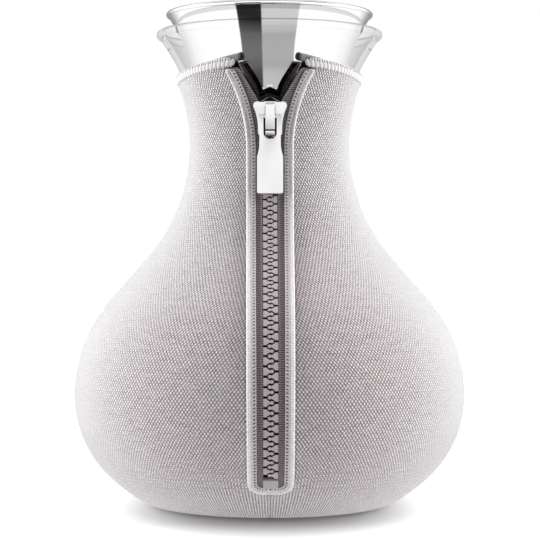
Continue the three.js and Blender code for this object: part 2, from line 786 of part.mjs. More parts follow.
function sliderBody() {
  const wingHalf = sliderWaistHalf + sliderWing;
  const wingLevel = sliderHalf / 2;
  const dip = sliderCorner / 2;
  const side = new THREE.Path();
  side.moveTo(0, sliderHalf);
  side.lineTo(bridgeWidth / 2, sliderHalf);
  side.quadraticCurveTo(bridgeWidth, sliderHalf - dip, sliderWaistHalf, sliderHalf);
  side.quadraticCurveTo(wingHalf, sliderHalf, wingHalf, wingLevel);
  side.quadraticCurveTo(sliderWaistHalf, wingLevel / 2, sliderWaistHalf, 0);
  side.lineTo(sliderWaistHalf, sliderCorner - sliderHalf);
  side.quadraticCurveTo(sliderWaistHalf, -sliderHalf, sliderWaistHalf - sliderCorner, -sliderHalf);
  side.lineTo(0, -sliderHalf);
  const lower = shapeOf([
    [sliderCorner - sliderWaistHalf, sliderCorner - sliderHalf],
    [sliderWaistHalf - sliderCorner, sliderCorner - sliderHalf],
    [sliderWaistHalf, 0],
    [sliderWaistHalf, sliderHalf - sliderCorner],
    [-sliderWaistHalf, sliderHalf - sliderCorner],
    [-sliderWaistHalf, 0],
  ]);
  const wedgeTop = sliderHalf - dip;
  const wedgeHalf = topStopInner - fitGap;
  const wedge = shapeOf([
    [0, wedgeTop - wedgeLength],
    [wedgeHalf, wedgeTop - wedgeLength / 2],
    [0, wedgeTop],
    [-wedgeHalf, wedgeTop - wedgeLength / 2],
  ]);
  const insideUpper = upperPlateLevel + plateThickness / 2;
  const flangeLevel = tapeTop + sliderSag + runningGap;
  const flangeInner = toothFoot + runningGap;
  const flanges = [-1, 1].map((sign) => plate(shapeOf([
    [sign * flangeInner, sliderCorner - sliderHalf],
    [sign * (flangeInner + flangeWidth), sliderCorner - sliderHalf],
    [sign * (flangeInner + flangeWidth), -fitGap],
    [sign * flangeInner, -fitGap],
  ]), flangeLevel, insideUpper - flangeLevel));
  const wedgeLevel = lowerPlateLevel + lowerPlateThickness / 2;
  return joined([
    plate(symmetricShape(side, 3), upperPlateLevel, plateThickness),
    plate(lower, lowerPlateLevel, lowerPlateThickness),
    plate(wedge, wedgeLevel, insideUpper - wedgeLevel),
    ...flanges,
  ]);
}

// Bridge: an arch over the slider's upper plate that the pull tab's pin swings under.
const tabPivotOut = upperPlateTop + fitGap + tabPinRadius;
const bridgeFoot = upperPlateTop + fitGap;
const bridgeUnder = tabPivotOut + tabPinRadius + fitGap;
const bridgeHalf = sliderHalf - bridgeInset;

function sliderBridge() {
  const top = bridgeUnder + bridgeBar;
  const side = new THREE.Path();
  side.moveTo(0, bridgeUnder);
  side.lineTo(bridgeHalf - bridgeLeg, bridgeUnder);
  side.lineTo(bridgeHalf - bridgeLeg, bridgeFoot);
  side.lineTo(bridgeHalf, bridgeFoot);
  side.lineTo(bridgeHalf, top - bridgeLeg);
  side.quadraticCurveTo(bridgeHalf, top, bridgeHalf - bridgeLeg, top);
  side.lineTo(0, top);
  return sidePlate(symmetricShape(side, 4), 0, bridgeWidth);
}

// Pull tab: two arms round a U-shaped window, a waist and a square end; its pin lies under the bridge.
function pullTab() {
  const windowHalf = bridgeWidth / 2 + tabWindowGap;
  const windowEnd = windowHalf - tabWindowLength;
  const side = new THREE.Path();
  side.moveTo(0, -tabWindowLength);
  side.absarc(0, windowEnd, windowHalf, -Math.PI / 2, 0, false);
  side.lineTo(windowHalf, tabPinRadius);
  side.lineTo(tabArmHalf, tabPinRadius);
  side.quadraticCurveTo(tabArmHalf, -tabWaistTop / 2, tabWaistHalf, -tabWaistTop);
  side.lineTo(tabWaistHalf, -tabWaistEnd);
  side.quadraticCurveTo(tabWaistHalf, -tabFlareEnd, tabEndHalf, -tabFlareEnd);
  side.lineTo(tabEndHalf, -tabLength);
  side.lineTo(0, -tabLength);
  const body = plate(symmetricShape(side, 4), -tabThickness / 2, tabThickness);
  return joined([body, barAlongX(tabPinRadius, (windowHalf + tabArmHalf) / 2, 0, 0)]);
}

// The tab hangs from its pivot with its end resting close over the teeth.
const tabEndRun = tabLength - tabPivotRise;
const teethRise = neckCurveRadius - Math.sqrt((neckCurveRadius - toothTop) ** 2 - tabEndRun ** 2);
const tabTilt = Math.asin((teethRise + 2 * fitGap + tabThickness / 2 - tabPivotOut) / tabLength);

// Materials
const material = (color, roughness, metalness) => new THREE.MeshStandardMaterial({ color, roughness, metalness });
const glass = () => material(0xe9efee, 0.05, 0);
const polishedSteel = () => material(0xd9dadb, 0.08, 1);
const satinSteel = () => material(0xcfcfd0, 0.35, 1);
const blackSilicone = () => material(0x1b1b1d, 0.6, 0);
const blackPlastic = () => material(0x242427, 0.45, 0);
const steelMesh = () => material(0xb9bbbd, 0.4, 1);
const knit = () => material(0xc9c4c5, 0.95, 0);
const piping = () => material(0xdcd8d8, 0.9, 0);
const tape = () => material(0x6e6266, 0.9, 0);
const teeth = () => material(0xa69d9d, 0.5, 0);

const teaMaker = new THREE.Group();

function add(parent, name, geometry, finish) {
  const mesh = new THREE.Mesh(geometry, finish);
  mesh.name = name;
  parent.add(mesh);
}

add(teaMaker, 'glass_carafe', glassCarafe(), glass());
add(teaMaker, 'pouring_funnel', pouringFunnel(), polishedSteel());
add(teaMaker, 'neck_seal', neckSeal(), blackSilicone());
add(teaMaker, 'lid_seat', lidSeat(), blackPlastic());
add(teaMaker, 'hinge_pin', hingePin(), satinSteel());
add(teaMaker, 'flip_lid', flipLid(), polishedSteel());
add(teaMaker, 'lid_gasket', lidGasket(), blackSilicone());
add(teaMaker, 'strainer_frame', strainerFrame(), blackPlastic());
add(teaMaker, 'strainer_mesh', strainerMesh(), steelMesh());

const panel = coverPanelRight();
const binding = neckBindingRight();
const tapeHalf = zipTapeRight();
add(teaMaker, 'cover_panel_right', panel, knit());
add(teaMaker, 'cover_panel_left', mirrored(panel), knit());
add(teaMaker, 'cover_base', coverBase(), knit());
add(teaMaker, 'neck_binding_right', binding, knit());
add(teaMaker, 'neck_binding_left', mirrored(binding), knit());
add(teaMaker, 'zip_welt', zipWelt(), piping());
add(teaMaker, 'zip_tape_right', tapeHalf, tape());
add(teaMaker, 'zip_tape_left', mirrored(tapeHalf), tape());
add(teaMaker, 'zip_teeth_right', zipTeethRight(), teeth());
add(teaMaker, 'zip_teeth_left', zipTeethLeft(), teeth());

const stopGroup = groupOnZip(stopBottom + stopLength / 2);
add(stopGroup, 'zip_bottom_stop', zipBottomStop(), teeth());
teaMaker.add(stopGroup);

const sliderGroup = groupOnZip(sliderAlong);
const topStop = zipTopStopRight();
add(sliderGroup, 'zip_top_stop_right', topStop, teeth());
add(sliderGroup, 'zip_top_stop_left', mirrored(topStop), teeth());
add(sliderGroup, 'slider_body', sliderBody(), satinSteel());
add(sliderGroup, 'slider_bridge', sliderBridge(), satinSteel());
const tabGroup = new THREE.Group();
tabGroup.position.set(0, tabPivotRise, tabPivotOut);
tabGroup.rotation.x = -tabTilt;
add(tabGroup, 'pull_tab', pullTab(), satinSteel());
sliderGroup.add(tabGroup);
teaMaker.add(sliderGroup);

export default teaMaker;
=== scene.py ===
import json
import math

import bpy
from mathutils import Matrix, Vector


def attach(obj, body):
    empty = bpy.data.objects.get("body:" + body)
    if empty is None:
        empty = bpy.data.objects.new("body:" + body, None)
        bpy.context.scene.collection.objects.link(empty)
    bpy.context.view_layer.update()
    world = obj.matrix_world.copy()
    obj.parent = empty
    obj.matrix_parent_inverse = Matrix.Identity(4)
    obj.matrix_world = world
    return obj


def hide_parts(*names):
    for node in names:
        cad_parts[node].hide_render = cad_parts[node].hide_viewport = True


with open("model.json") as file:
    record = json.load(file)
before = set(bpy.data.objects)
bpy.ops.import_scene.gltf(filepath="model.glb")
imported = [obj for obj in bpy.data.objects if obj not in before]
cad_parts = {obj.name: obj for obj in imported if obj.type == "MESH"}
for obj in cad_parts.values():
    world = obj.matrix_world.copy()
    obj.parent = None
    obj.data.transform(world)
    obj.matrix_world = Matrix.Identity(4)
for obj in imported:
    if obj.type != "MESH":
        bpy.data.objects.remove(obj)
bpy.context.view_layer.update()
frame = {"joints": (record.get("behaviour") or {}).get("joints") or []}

# Glass carafe: one blown wall with a flat foot, a wide belly, a long waisted neck and a fire polished
# bead round its mouth. The cover's outside follows the same side line, 2.4 mm further out, so the
# line is worked out here: two belly arcs, a straight shoulder and the arc of the neck.
cover_stand = 0.0024
belly_radius = 0.0732
lower_arc = 0.0407
upper_arc = 0.0528
shoulder_run = 0.0226
neck_radius = 0.0286
waist_level = 0.1397
glass_wall = 0.0022
bead_radius = 0.0016
bead_level = waist_level + 0.0429
foot_radius = belly_radius - lower_arc
belly_level = cover_stand + lower_arc
upper_centre = belly_radius - upper_arc
waist_run = neck_radius - upper_centre
waist_climb = waist_level - belly_level
neck_arc = (waist_run**2 + waist_climb**2 - shoulder_run**2 - upper_arc**2) / (2 * (upper_arc - waist_run))
neck_centre = neck_radius + neck_arc
cover_neck_arc = neck_arc - cover_stand
shoulder_angle = math.atan2(waist_climb, waist_run + neck_arc) - math.acos(
    (upper_arc + neck_arc) / math.hypot(waist_run + neck_arc, waist_climb))
lower_length = (lower_arc + cover_stand) * math.pi / 2
upper_length = (upper_arc + cover_stand) * shoulder_angle
neck_start = lower_length + upper_length + shoulder_run


def side_line(along):
    """Radius, height and slope of the cover's outside, a distance up from the foot."""
    lower = lower_arc + cover_stand
    upper = upper_arc + cover_stand
    if along < lower_length:
        slope = along / lower - math.pi / 2
        return foot_radius + lower * math.cos(slope), belly_level + lower * math.sin(slope), slope
    if along < neck_start:
        slope = min((along - lower_length) / upper, shoulder_angle)
        run = max(0, along - lower_length - upper_length)
        radius = upper_centre + upper * math.cos(slope) - run * math.sin(slope)
        return radius, belly_level + upper * math.sin(slope) + run * math.cos(slope), slope
    slope = shoulder_angle - (along - neck_start) / cover_neck_arc
    radius = neck_centre - cover_neck_arc * math.cos(slope)
    return radius, waist_level - cover_neck_arc * math.sin(slope), slope


def side_offset(along, out):
    """Radius and height of that line, moved out along its normal."""
    radius, height, slope = side_line(along)
    return radius + out * math.cos(slope), height + out * math.sin(slope)


def between(low, high, count):
    return [low + (high - low) * i / count for i in range(count + 1)]


def named(name):
    """Names the piece that was just added, and its mesh."""
    piece = bpy.context.object
    piece.name = name
    piece.data.name = name
    return piece


def drawn(name, points):
    """A new piece that is a line of edges through the points, in edit mode and selected."""
    bpy.ops.object.select_all(action="DESELECT")
    bpy.ops.mesh.primitive_plane_add(size=0.001)
    piece = named(name)
    bpy.ops.object.mode_set(mode="EDIT")
    bpy.ops.mesh.select_mode(type="VERT")
    bpy.ops.mesh.select_all(action="SELECT")
    bpy.ops.mesh.merge(type="CENTER")
    bpy.ops.transform.translate(value=points[0])
    for point, following in zip(points, points[1:]):
        step = Vector(following) - Vector(point)
        bpy.ops.mesh.extrude_region_move(TRANSFORM_OT_translate={"value": step})
    bpy.ops.mesh.select_all(action="SELECT")
    return piece


def turned(name, profile, steps=128, smooth=40):
    """A piece turned about the carafe's axis from a list of radius and height pairs."""
    piece = drawn(name, [(radius, 0, height) for radius, height in profile])
    bpy.ops.mesh.spin(steps=steps, angle=2 * math.pi, center=(0, 0, 0), axis=(0, 0, 1))
    bpy.ops.mesh.select_all(action="SELECT")
    bpy.ops.mesh.remove_doubles(threshold=1e-6)
    bpy.ops.mesh.normals_make_consistent(inside=False)
    bpy.ops.object.mode_set(mode="OBJECT")
    bpy.ops.object.shade_smooth_by_angle(angle=math.radians(smooth))
    return piece


def give(tree, node, inputs):
    """Sets a node's inputs to values, or links them to sockets."""
    for key, value in inputs.items():
        if isinstance(value, bpy.types.NodeSocket):
            tree.links.new(value, node.inputs[key])
        else:
            node.inputs[key].default_value = value


def finish_of(name, constants):
    """A new material with its node tree and its shader, on which the constant values are set."""
    made = bpy.data.materials.new(name)
    made.use_nodes = True
    shader = made.node_tree.nodes["Principled BSDF"]
    give(made.node_tree, shader, constants)
    return made, made.node_tree, shader


def put(tree, kind, inputs=None, **settings):
    """A node with its settings, and with values or links for its inputs."""
    node = tree.nodes.new("ShaderNode" + kind)
    for key, value in settings.items():
        setattr(node, key, value)
    give(tree, node, inputs or {})
    return node


def parts_of(tree, vector):
    """The X, Y and Z of a vector."""
    return put(tree, "SeparateXYZ", {"Vector": vector}).outputs


def ramp(tree, value, low, high, start=0.0, end=1.0, smooth=False):
    """Goes from start to end while a value goes from low to high."""
    node = put(tree, "MapRange", {
        "Value": value, "From Min": low, "From Max": high, "To Min": start, "To Max": end,
    }, interpolation_type="SMOOTHSTEP" if smooth else "LINEAR")
    return node.outputs["Result"]


def noise(tree, place, scale, detail, rough=0.5):
    node = put(tree, "TexNoise", {"Vector": place, "Scale": scale, "Detail": detail, "Roughness": rough})
    return node.outputs["Fac"]


def colour_mix(tree, factor, low, high, blend="MIX"):
    """A colour from low to high, each of them a socket or red, green and blue."""
    ends = [end if isinstance(end, bpy.types.NodeSocket) else (*end, 1) for end in (low, high)]
    inputs = {"Factor": factor, "A": ends[0], "B": ends[1]}
    return put(tree, "Mix", inputs, data_type="RGBA", blend_type=blend).outputs["Result"]


def relief(tree, shader, height, strength, distance):
    """Lets a height show as a fine relief of the finish."""
    bump = put(tree, "Bump", {"Height": height, "Strength": strength, "Distance": distance})
    give(tree, shader, {"Normal": bump.outputs["Normal"]})


def dress(piece, body, slot, materials, *nodes):
    """Gives a finished piece its materials, its body and the nodes that it stands for. Its slot is not used.
    """
    for i, material in enumerate(materials):
        if i < len(piece.data.materials):
            piece.data.materials[i] = material
        else:
            piece.data.materials.append(material)
    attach(piece, body)
    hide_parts(*nodes)


bead_middle = neck_arc + glass_wall / 2
bead_angle = math.asin((bead_level - waist_level) / bead_middle)
bead_seat = math.sqrt(bead_radius**2 - (glass_wall / 2) ** 2) / bead_middle
mouth_radius = neck_centre - bead_middle * math.cos(bead_angle)
glass_top = neck_start + cover_neck_arc * (shoulder_angle + bead_angle - bead_seat)
glass_stations = [
    *between(0, lower_length, 24),
    *between(lower_length, lower_length + upper_length, 14)[1:],
    *between(lower_length + upper_length, neck_start, 4)[1:],
    *between(neck_start, glass_top, 30)[1:],
]
bead_start = math.pi - math.asin(glass_wall / 2 / bead_radius)
glass_bead = []
for turn in between(bead_start, -bead_start, 18)[1:-1]:
    up = bead_radius * math.cos(turn)
    out = bead_radius * math.sin(turn)
    glass_bead.append((
        mouth_radius + up * math.sin(bead_angle) + out * math.cos(bead_angle),
        bead_level + up * math.cos(bead_angle) - out * math.sin(bead_angle),
    ))
glass_outside = [side_offset(along, -cover_stand) for along in glass_stations]
glass_inside = [side_offset(along, -cover_stand - glass_wall) for along in reversed(glass_stations)]
carafe_glass = turned("carafe_glass", [
    (0, cover_stand), *glass_outside, *glass_bead, *glass_inside, (0, cover_stand + glass_wall)], 160)

clear_glass, tree, shader = finish_of("clear_glass", {"Transmission Weight": 1, "IOR": 1.02, "Roughness": 0})
# Painted shade: the glass is tinted grey where it is seen on edge, in place of the lines that refracting
# walls would show.
facing = put(tree, "LayerWeight", {"Blend": 0.5}).outputs["Facing"]
place = put(tree, "TexCoord").outputs["Object"]
thin = (0.995, 0.996, 0.996)
edge_painted_shade = (0.72, 0.725, 0.726)
bead_painted_shade = (0.5, 0.505, 0.51)
glass_with_edge_shade = colour_mix(tree, ramp(tree, facing, 0.22, 0.85, smooth=True), thin, edge_painted_shade)
# Painted shade: a grey band round the top of the bead, in place of the dark line that the bead would show.
bead_shade_band = ramp(tree, parts_of(tree, place)["Z"], bead_level + 0.00105, bead_level + 0.0013)
give(tree, shader, {"Base Color": colour_mix(tree, bead_shade_band, glass_with_edge_shade, bead_painted_shade)})
relief(tree, shader, noise(tree, place, 45, 1), 0.05, 0.001)
dress(carafe_glass, "carafe", "glass", [clear_glass], "glass_carafe")

# Pouring funnel: a spun and polished steel tube that drops into the neck, opens in a long flare above the
# waist and turns out at its mouth to a rolled hem. The silicone sleeve holds it.
fit_gap = 0.0003
funnel_wall = 0.0008
hem_radius = 0.0009
sleeve_thickness = 0.0011
sleeve_length = 0.0165
tube_bottom = waist_level - 0.003


def glass_inner(height):
    return neck_centre - math.sqrt((neck_arc + glass_wall) ** 2 - (height - waist_level) ** 2)


tube_radius = glass_inner(waist_level) - 2 * fit_gap - sleeve_thickness - funnel_wall / 2
rim_radius = mouth_radius - 0.003
rim_level = bead_level + 0.008
funnel_turns = [
    (tube_bottom + 0.0133, tube_radius, 0.0),
    (tube_bottom + 0.0348, tube_radius + 0.0066, 0.26),
    (tube_bottom + 0.0413, tube_radius + 0.0084, 0.33),
    (rim_level, rim_radius, 0.66),
]
funnel_line = [(tube_radius, tube_bottom), (tube_radius, funnel_turns[0][0])]
for (low, start, lean), (high, end, last_lean) in zip(funnel_turns, funnel_turns[1:]):
    for part in between(0, 1, 20)[1:]:
        swing = part**2 * (3 - 2 * part)
        leaning = (high - low) * (lean * part * (1 - part) ** 2 - last_lean * part**2 * (1 - part))
        funnel_line.append((start + (end - start) * swing + leaning, low + (high - low) * part))


def walled(line, wall, hem):
    """Both faces of a sheet metal wall about its middle line, with a rolled hem at its last end."""
    sides = {1: [], -1: []}
    for i, (radius, height) in enumerate(line):
        before = line[max(i - 1, 0)]
        after = line[min(i + 1, len(line) - 1)]
        run = Vector((after[0] - before[0], after[1] - before[1])).normalized()
        for sign in sides:
            sides[sign].append((radius + sign * run.y * wall / 2, height - sign * run.x * wall / 2))
    edge = []
    roll = math.pi - math.asin(wall / 2 / hem)
    for turn in between(roll, -roll, 16)[1:-1]:
        across = math.sin(turn) * hem
        ahead = math.cos(turn) * hem
        edge.append((
            line[-1][0] + run.y * across + run.x * ahead,
            line[-1][1] - run.x * across + run.y * ahead,
        ))
    return [*sides[1][:-1], *edge, *reversed(sides[-1][:-1]), sides[1][0]]


funnel_steel = turned("funnel_steel", walled(funnel_line, funnel_wall, hem_radius), 160)


def effect(name, given, made):
    """A new node group with its inputs, by name and kind, and its outputs, which are all values."""
    group = bpy.data.node_groups.new(name, "ShaderNodeTree")
    for socket, kind in given.items():
        group.interface.new_socket(socket, in_out="INPUT", socket_type="NodeSocket" + kind)
    for socket in made:
        group.interface.new_socket(socket, in_out="OUTPUT", socket_type="NodeSocketFloat")
    return group, group.nodes.new("NodeGroupInput").outputs, group.nodes.new("NodeGroupOutput")


handling, given, taken = effect(
    "handling_marks", {"Place": "Vector", "Least": "Float", "Most": "Float"}, ["Roughness", "Height"])
smears = noise(handling, given["Place"], 60, 5, 0.65)
give(handling, taken, {
    "Roughness": ramp(handling, smears, 0.35, 0.7, given["Least"], given["Most"]),
    "Height": noise(handling, given["Place"], 4000, 2),
})


def handled(tree, shader, least, most):
    """Makes a finish as unevenly rough as handling does. Gives the place on it and its fine grain."""
    place = put(tree, "TexCoord").outputs["Object"]
    marks = put(tree, "Group", {"Place": place, "Least": least, "Most": most}, node_tree=handling)
    give(tree, shader, {"Roughness": marks.outputs["Roughness"]})
    return place, marks.outputs["Height"]


def stretched(tree, vector, scale):
    node = put(tree, "VectorMath", {0: vector, 1: scale}, operation="MULTIPLY")
    return node.outputs["Vector"]


mirror_steel, tree, shader = finish_of("mirror_steel", {"Base Color": (0.96, 0.96, 0.962, 1), "Metallic": 1})
place, _ = handled(tree, shader, 0.025, 0.06)
spun_lines = noise(tree, stretched(tree, place, (0, 0, 1)), 2500, 2)
relief(tree, shader, spun_lines, 0.015, 0.0002)
dress(funnel_steel, "pouring_head", "polished_steel", [mirror_steel], "pouring_funnel")

# Neck sleeve: a moulded black silicone sleeve pulled over the funnel's tube. Its three thin lips
# lean up and press on the glass.
sleeve_bore = tube_radius + funnel_wall / 2 + fit_gap
sleeve_bottom = tube_bottom + fit_gap
sleeve_body = sleeve_bore + sleeve_thickness / 2
lip_pitch = sleeve_length / 3
lip_edge = 0.0001
sleeve_line = [(sleeve_bore, sleeve_bottom)]
for lip in range(3):
    root = sleeve_bottom + lip * lip_pitch
    tip = glass_inner(root + 0.75 * lip_pitch) - fit_gap
    sleeve_line += [
        (sleeve_body, root),
        (sleeve_body + lip_edge, root + 0.3 * lip_pitch),
        (tip - lip_edge, root + 0.7 * lip_pitch),
        (tip, root + 0.75 * lip_pitch),
        (tip - lip_edge, root + 0.8 * lip_pitch),
        (sleeve_body, root + 0.95 * lip_pitch),
    ]
sleeve_line += [(sleeve_bore, sleeve_bottom + sleeve_length), (sleeve_bore, sleeve_bottom)]
neck_sleeve = turned("neck_sleeve", sleeve_line)

black_silicone, tree, shader = finish_of("black_silicone", {"Roughness": 0.6})
dust = noise(tree, put(tree, "TexCoord").outputs["Object"], 900, 3)
shade = colour_mix(tree, ramp(tree, dust, 0.4, 0.8), (0.008, 0.008, 0.009), (0.022, 0.022, 0.024))
give(tree, shader, {"Base Color": shade})
relief(tree, shader, dust, 0.1, 0.0001)
dress(neck_sleeve, "pouring_head", "black_silicone", [black_silicone], "neck_seal")

# Lid seat: a moulded black ring pressed into the funnel. Two lugs at its back carry the hinge rod, and
# the lid's seal rests on its flat top.
lid_hinge = next(joint["pos_m"] for joint in frame["joints"] if joint["name"] == "lid_flip")
hinge_y = lid_hinge[1]
hinge_level = lid_hinge[2]
lid_radius = hinge_y - 0.0021
seat_level = waist_level + 0.032
seat_bottom = seat_level - 0.003
seat_bore = lid_radius - 0.0032
seat_edge = 0.0004
rod_bore = 0.00105
lug_radius = 0.0017
lug_width = 0.0022
lug_start = 0.005
lug_root = seat_level - 0.0015
lug_edge = 0.00025


def funnel_inner(level):
    """The funnel's inside radius at a level."""
    for (low_radius, low), (high_radius, high) in zip(funnel_line, funnel_line[1:]):
        if low <= level <= high:
            return low_radius + (high_radius - low_radius) * (level - low) / (high - low) - 0.6 * funnel_wall


def shaped(piece, kind, **settings):
    """Adds a modifier to a piece and applies it."""
    change = piece.modifiers.new("change", kind)
    for key, value in settings.items():
        setattr(change, key, value)
    bpy.context.view_layer.objects.active = piece
    bpy.ops.object.modifier_apply(modifier="change")


def cut_out(name, outline, thickness, place, edge=0.0002, smooth=35):
    """A flat shape cut along a closed outline, thickened, rounded at its edges and put in its place."""
    piece = drawn(name, [(across, up, 0) for across, up in [*outline, outline[0]]])
    bpy.ops.mesh.remove_doubles(threshold=1e-6)
    bpy.ops.mesh.edge_face_add()
    bpy.ops.mesh.extrude_region_move(TRANSFORM_OT_translate={"value": (0, 0, thickness)})
    bpy.ops.mesh.select_all(action="SELECT")
    bpy.ops.mesh.normals_make_consistent(inside=False)
    bpy.ops.object.mode_set(mode="OBJECT")
    shaped(piece, "BEVEL", width=edge, segments=3, limit_method="ANGLE", angle_limit=math.radians(40))
    piece.data.transform(place)
    bpy.ops.object.shade_smooth_by_angle(angle=math.radians(smooth))
    return piece


def side_view(start):
    """The place of a cut-out whose outline is Y and Z, and whose thickness lies along X from a start."""
    return Matrix(((0, 0, 1, start), (1, 0, 0, 0), (0, 1, 0, 0), (0, 0, 0, 1)))


def arc(middle, radius, start, end, count):
    """Points on an arc, by its angles in degrees."""
    turns = [math.radians(turn) for turn in between(start, end, count)]
    return [(middle[0] + radius * math.cos(turn), middle[1] + radius * math.sin(turn)) for turn in turns]


def join(first, *others):
    """Joins finished meshes into the first one."""
    bpy.ops.object.select_all(action="DESELECT")
    for piece in (first, *others):
        piece.select_set(True)
    bpy.context.view_layer.objects.active = first
    bpy.ops.object.join()
    return first


def cut_with(piece, tool, smooth):
    """Cuts a tool's shape out of a piece and takes the tool away."""
    shaped(piece, "BOOLEAN", object=tool)
    bpy.data.objects.remove(tool)
    bpy.ops.object.select_all(action="DESELECT")
    piece.select_set(True)
    bpy.ops.object.shade_smooth_by_angle(angle=math.radians(smooth))


seat_ring = turned("lid_seat_ring", [
    (seat_bore, seat_bottom),
    (funnel_inner(seat_bottom) - fit_gap, seat_bottom),
    (funnel_inner(seat_level) - fit_gap - seat_edge, seat_level - seat_edge / 2),
    (funnel_inner(seat_level) - fit_gap - 2 * seat_edge, seat_level),
    (seat_bore + seat_edge, seat_level),
    (seat_bore, seat_level - seat_edge),
    (seat_bore, seat_bottom),
])
lug_outline = [
    (hinge_y - lug_radius, lug_root),
    (hinge_y + lug_radius, lug_root),
    *arc((hinge_y, hinge_level), lug_radius, 0, 180, 16),
]
lugs = []
for start in (lug_start, -lug_start - lug_width):
    lug = cut_out("lug", lug_outline, lug_width, side_view(start), lug_edge)
    bpy.ops.object.select_all(action="DESELECT")
    bpy.ops.mesh.primitive_cylinder_add(
        vertices=40, radius=rod_bore, depth=0.04,
        location=(0, hinge_y, hinge_level), rotation=(0, math.pi / 2, 0))
    cut_with(lug, bpy.context.object, 35)
    lugs.append(lug)
join(seat_ring, *lugs)

moulded_black, tree, shader = finish_of("moulded_black", {})
place, grain = handled(tree, shader, 0.38, 0.55)
shade = colour_mix(tree, noise(tree, place, 140, 3), (0.012, 0.012, 0.013), (0.03, 0.03, 0.032))
give(tree, shader, {"Base Color": shade})
relief(tree, shader, grain, 0.12, 0.0001)
dress(seat_ring, "pouring_head", "black_plastic", [moulded_black], "lid_seat")

# Hinge rod: a short drawn steel rod with chamfered ends. It is pushed through both lugs and the lid's
# knuckle, and the lid turns on it.
rod_radius = 0.0008
rod_half = lug_start + lug_width
rod_chamfer = 0.0002


def round_bar(name, bore, radius, half, chamfer):
    """A bar along the lid's hinge with chamfered ends, or a tube where it has a bore."""
    profile = [
        (bore, -half),
        (radius - chamfer, -half),
        (radius, chamfer - half),
        (radius, half - chamfer),
        (radius - chamfer, half),
        (bore, half),
    ]
    if bore:
        profile.append(profile[0])
    bar = turned(name, profile, 40)
    bar.data.transform(Matrix.Translation((0, hinge_y, hinge_level)) @ Matrix.Rotation(math.pi / 2, 4, "Y"))
    return bar


def steel_with_painted_shade(name, colour, least, most, grain_height):
    """A satin steel, painted black as painted shade where a piece is marked as lying deep."""
    made, tree, shader = finish_of(name, {"Metallic": 1})
    painted_shade = put(tree, "Attribute", attribute_name="depth").outputs["Fac"]
    give(tree, shader, {"Base Color": colour_mix(tree, painted_shade, colour, (0.02, 0.02, 0.02))})
    _, grain = handled(tree, shader, least, most)
    relief(tree, shader, grain, grain_height, 0.0001)
    return made


hinge_rod = round_bar("hinge_rod", 0, rod_radius, rod_half, rod_chamfer)
satin_steel = steel_with_painted_shade("satin_steel", (0.89, 0.885, 0.88), 0.3, 0.42, 0.06)
dress(hinge_rod, "pouring_head", "satin_steel", [satin_steel], "hinge_pin")

# Flip lid: a pressed, slightly domed steel disc. A tongue at its back is rolled into the knuckle that
# turns on the hinge rod, so that the lid falls open as the carafe is tipped.
lid_level = seat_level + 0.0018
lid_thickness = 0.0012
lid_dome = 0.0009
lid_edge = 0.0003
knuckle_half = 0.0047
knuckle_radius = 0.0015
knuckle_chamfer = 0.0001
tongue_half = 0.0036
tongue_front = hinge_y - 0.0042
tongue_back = hinge_y - rod_bore - 0.0001
lid_profile = [
    (0, lid_level),
    (lid_radius - lid_edge, lid_level),
    (lid_radius, lid_level + lid_edge),
    (lid_radius, lid_level + lid_thickness - lid_edge),
]
for part in between(0.985, 0, 14):
    lid_profile.append((lid_radius * part, lid_level + lid_thickness + lid_dome * (1 - part**2.4)))
lid_disc = turned("flip_lid_disc", lid_profile, 128, 30)
lid_tongue = cut_out("lid_tongue", [
    (-tongue_half, tongue_front),
    (tongue_half, tongue_front),
    (tongue_half, tongue_back),
    (-tongue_half, tongue_back),
], lid_thickness, Matrix.Translation((0, 0, lid_level)))
lid_knuckle = round_bar("lid_knuckle", rod_bore, knuckle_radius, knuckle_half, knuckle_chamfer)
join(lid_disc, lid_tongue, lid_knuckle)
dress(lid_disc, "lid", "polished_steel", [mirror_steel], "flip_lid")

# Lid seal: a soft moulded ring of black silicone, fixed under the lid's edge. It closes on the seat's
# flat top.
seal_bottom = seat_level + fit_gap
seal_height = 0.0012
seal_width = 0.0026
seal_round = 0.0004


def moulded_ring(name, inner, outer, bottom, height, corner, steps=128, smooth=40):
    """A ring with its two lower edges eased."""
    return turned(name, [
        (inner, bottom + corner),
        (inner + corner, bottom),
        (outer - corner, bottom),
        (outer, bottom + corner),
        (outer, bottom + height),
        (inner, bottom + height),
        (inner, bottom + corner),
    ], steps, smooth)


seal_bore = lid_radius - seal_width
lid_seal = moulded_ring("lid_seal", seal_bore, lid_radius, seal_bottom, seal_height, seal_round)
dress(lid_seal, "lid", "black_silicone", [black_silicone], "lid_gasket")

# Strainer frame: a moulded black collar that plugs into the funnel's tube, with four ribs down to a
# foot ring. The gauze cup sits inside the ribs.
strainer_floor = tube_bottom - 0.074
flange_bottom = tube_bottom - 0.005
flange_top = tube_bottom - fit_gap
flange_radius = tube_radius + funnel_wall / 2
foot_height = 0.0025
plug_top = tube_bottom + 0.006
plug_radius = tube_radius - funnel_wall / 2 - fit_gap
plug_bore = plug_radius - 0.0014
plug_round = 0.0004
rib_depth = 0.0015
rib_width = 0.0018
rib_edge = 0.0003
gauze_foot_radius = 0.0145
gauze_top_radius = plug_radius - rib_depth - fit_gap
frame_collar = turned("strainer_collar", [
    (plug_bore, flange_bottom),
    (flange_radius - plug_round, flange_bottom),
    (flange_radius, flange_bottom + plug_round),
    (flange_radius, flange_top - plug_round),
    (flange_radius - plug_round, flange_top),
    (plug_radius, flange_top),
    (plug_radius, plug_top - plug_round),
    (plug_radius - plug_round, plug_top),
    (plug_bore, plug_top),
    (plug_bore, flange_bottom),
], 96, 30)
foot_middle = gauze_foot_radius + fit_gap
foot_ring = moulded_ring("strainer_foot", foot_middle - rib_depth, foot_middle + rib_depth, strainer_floor,
                         foot_height, plug_round, 96, 30)
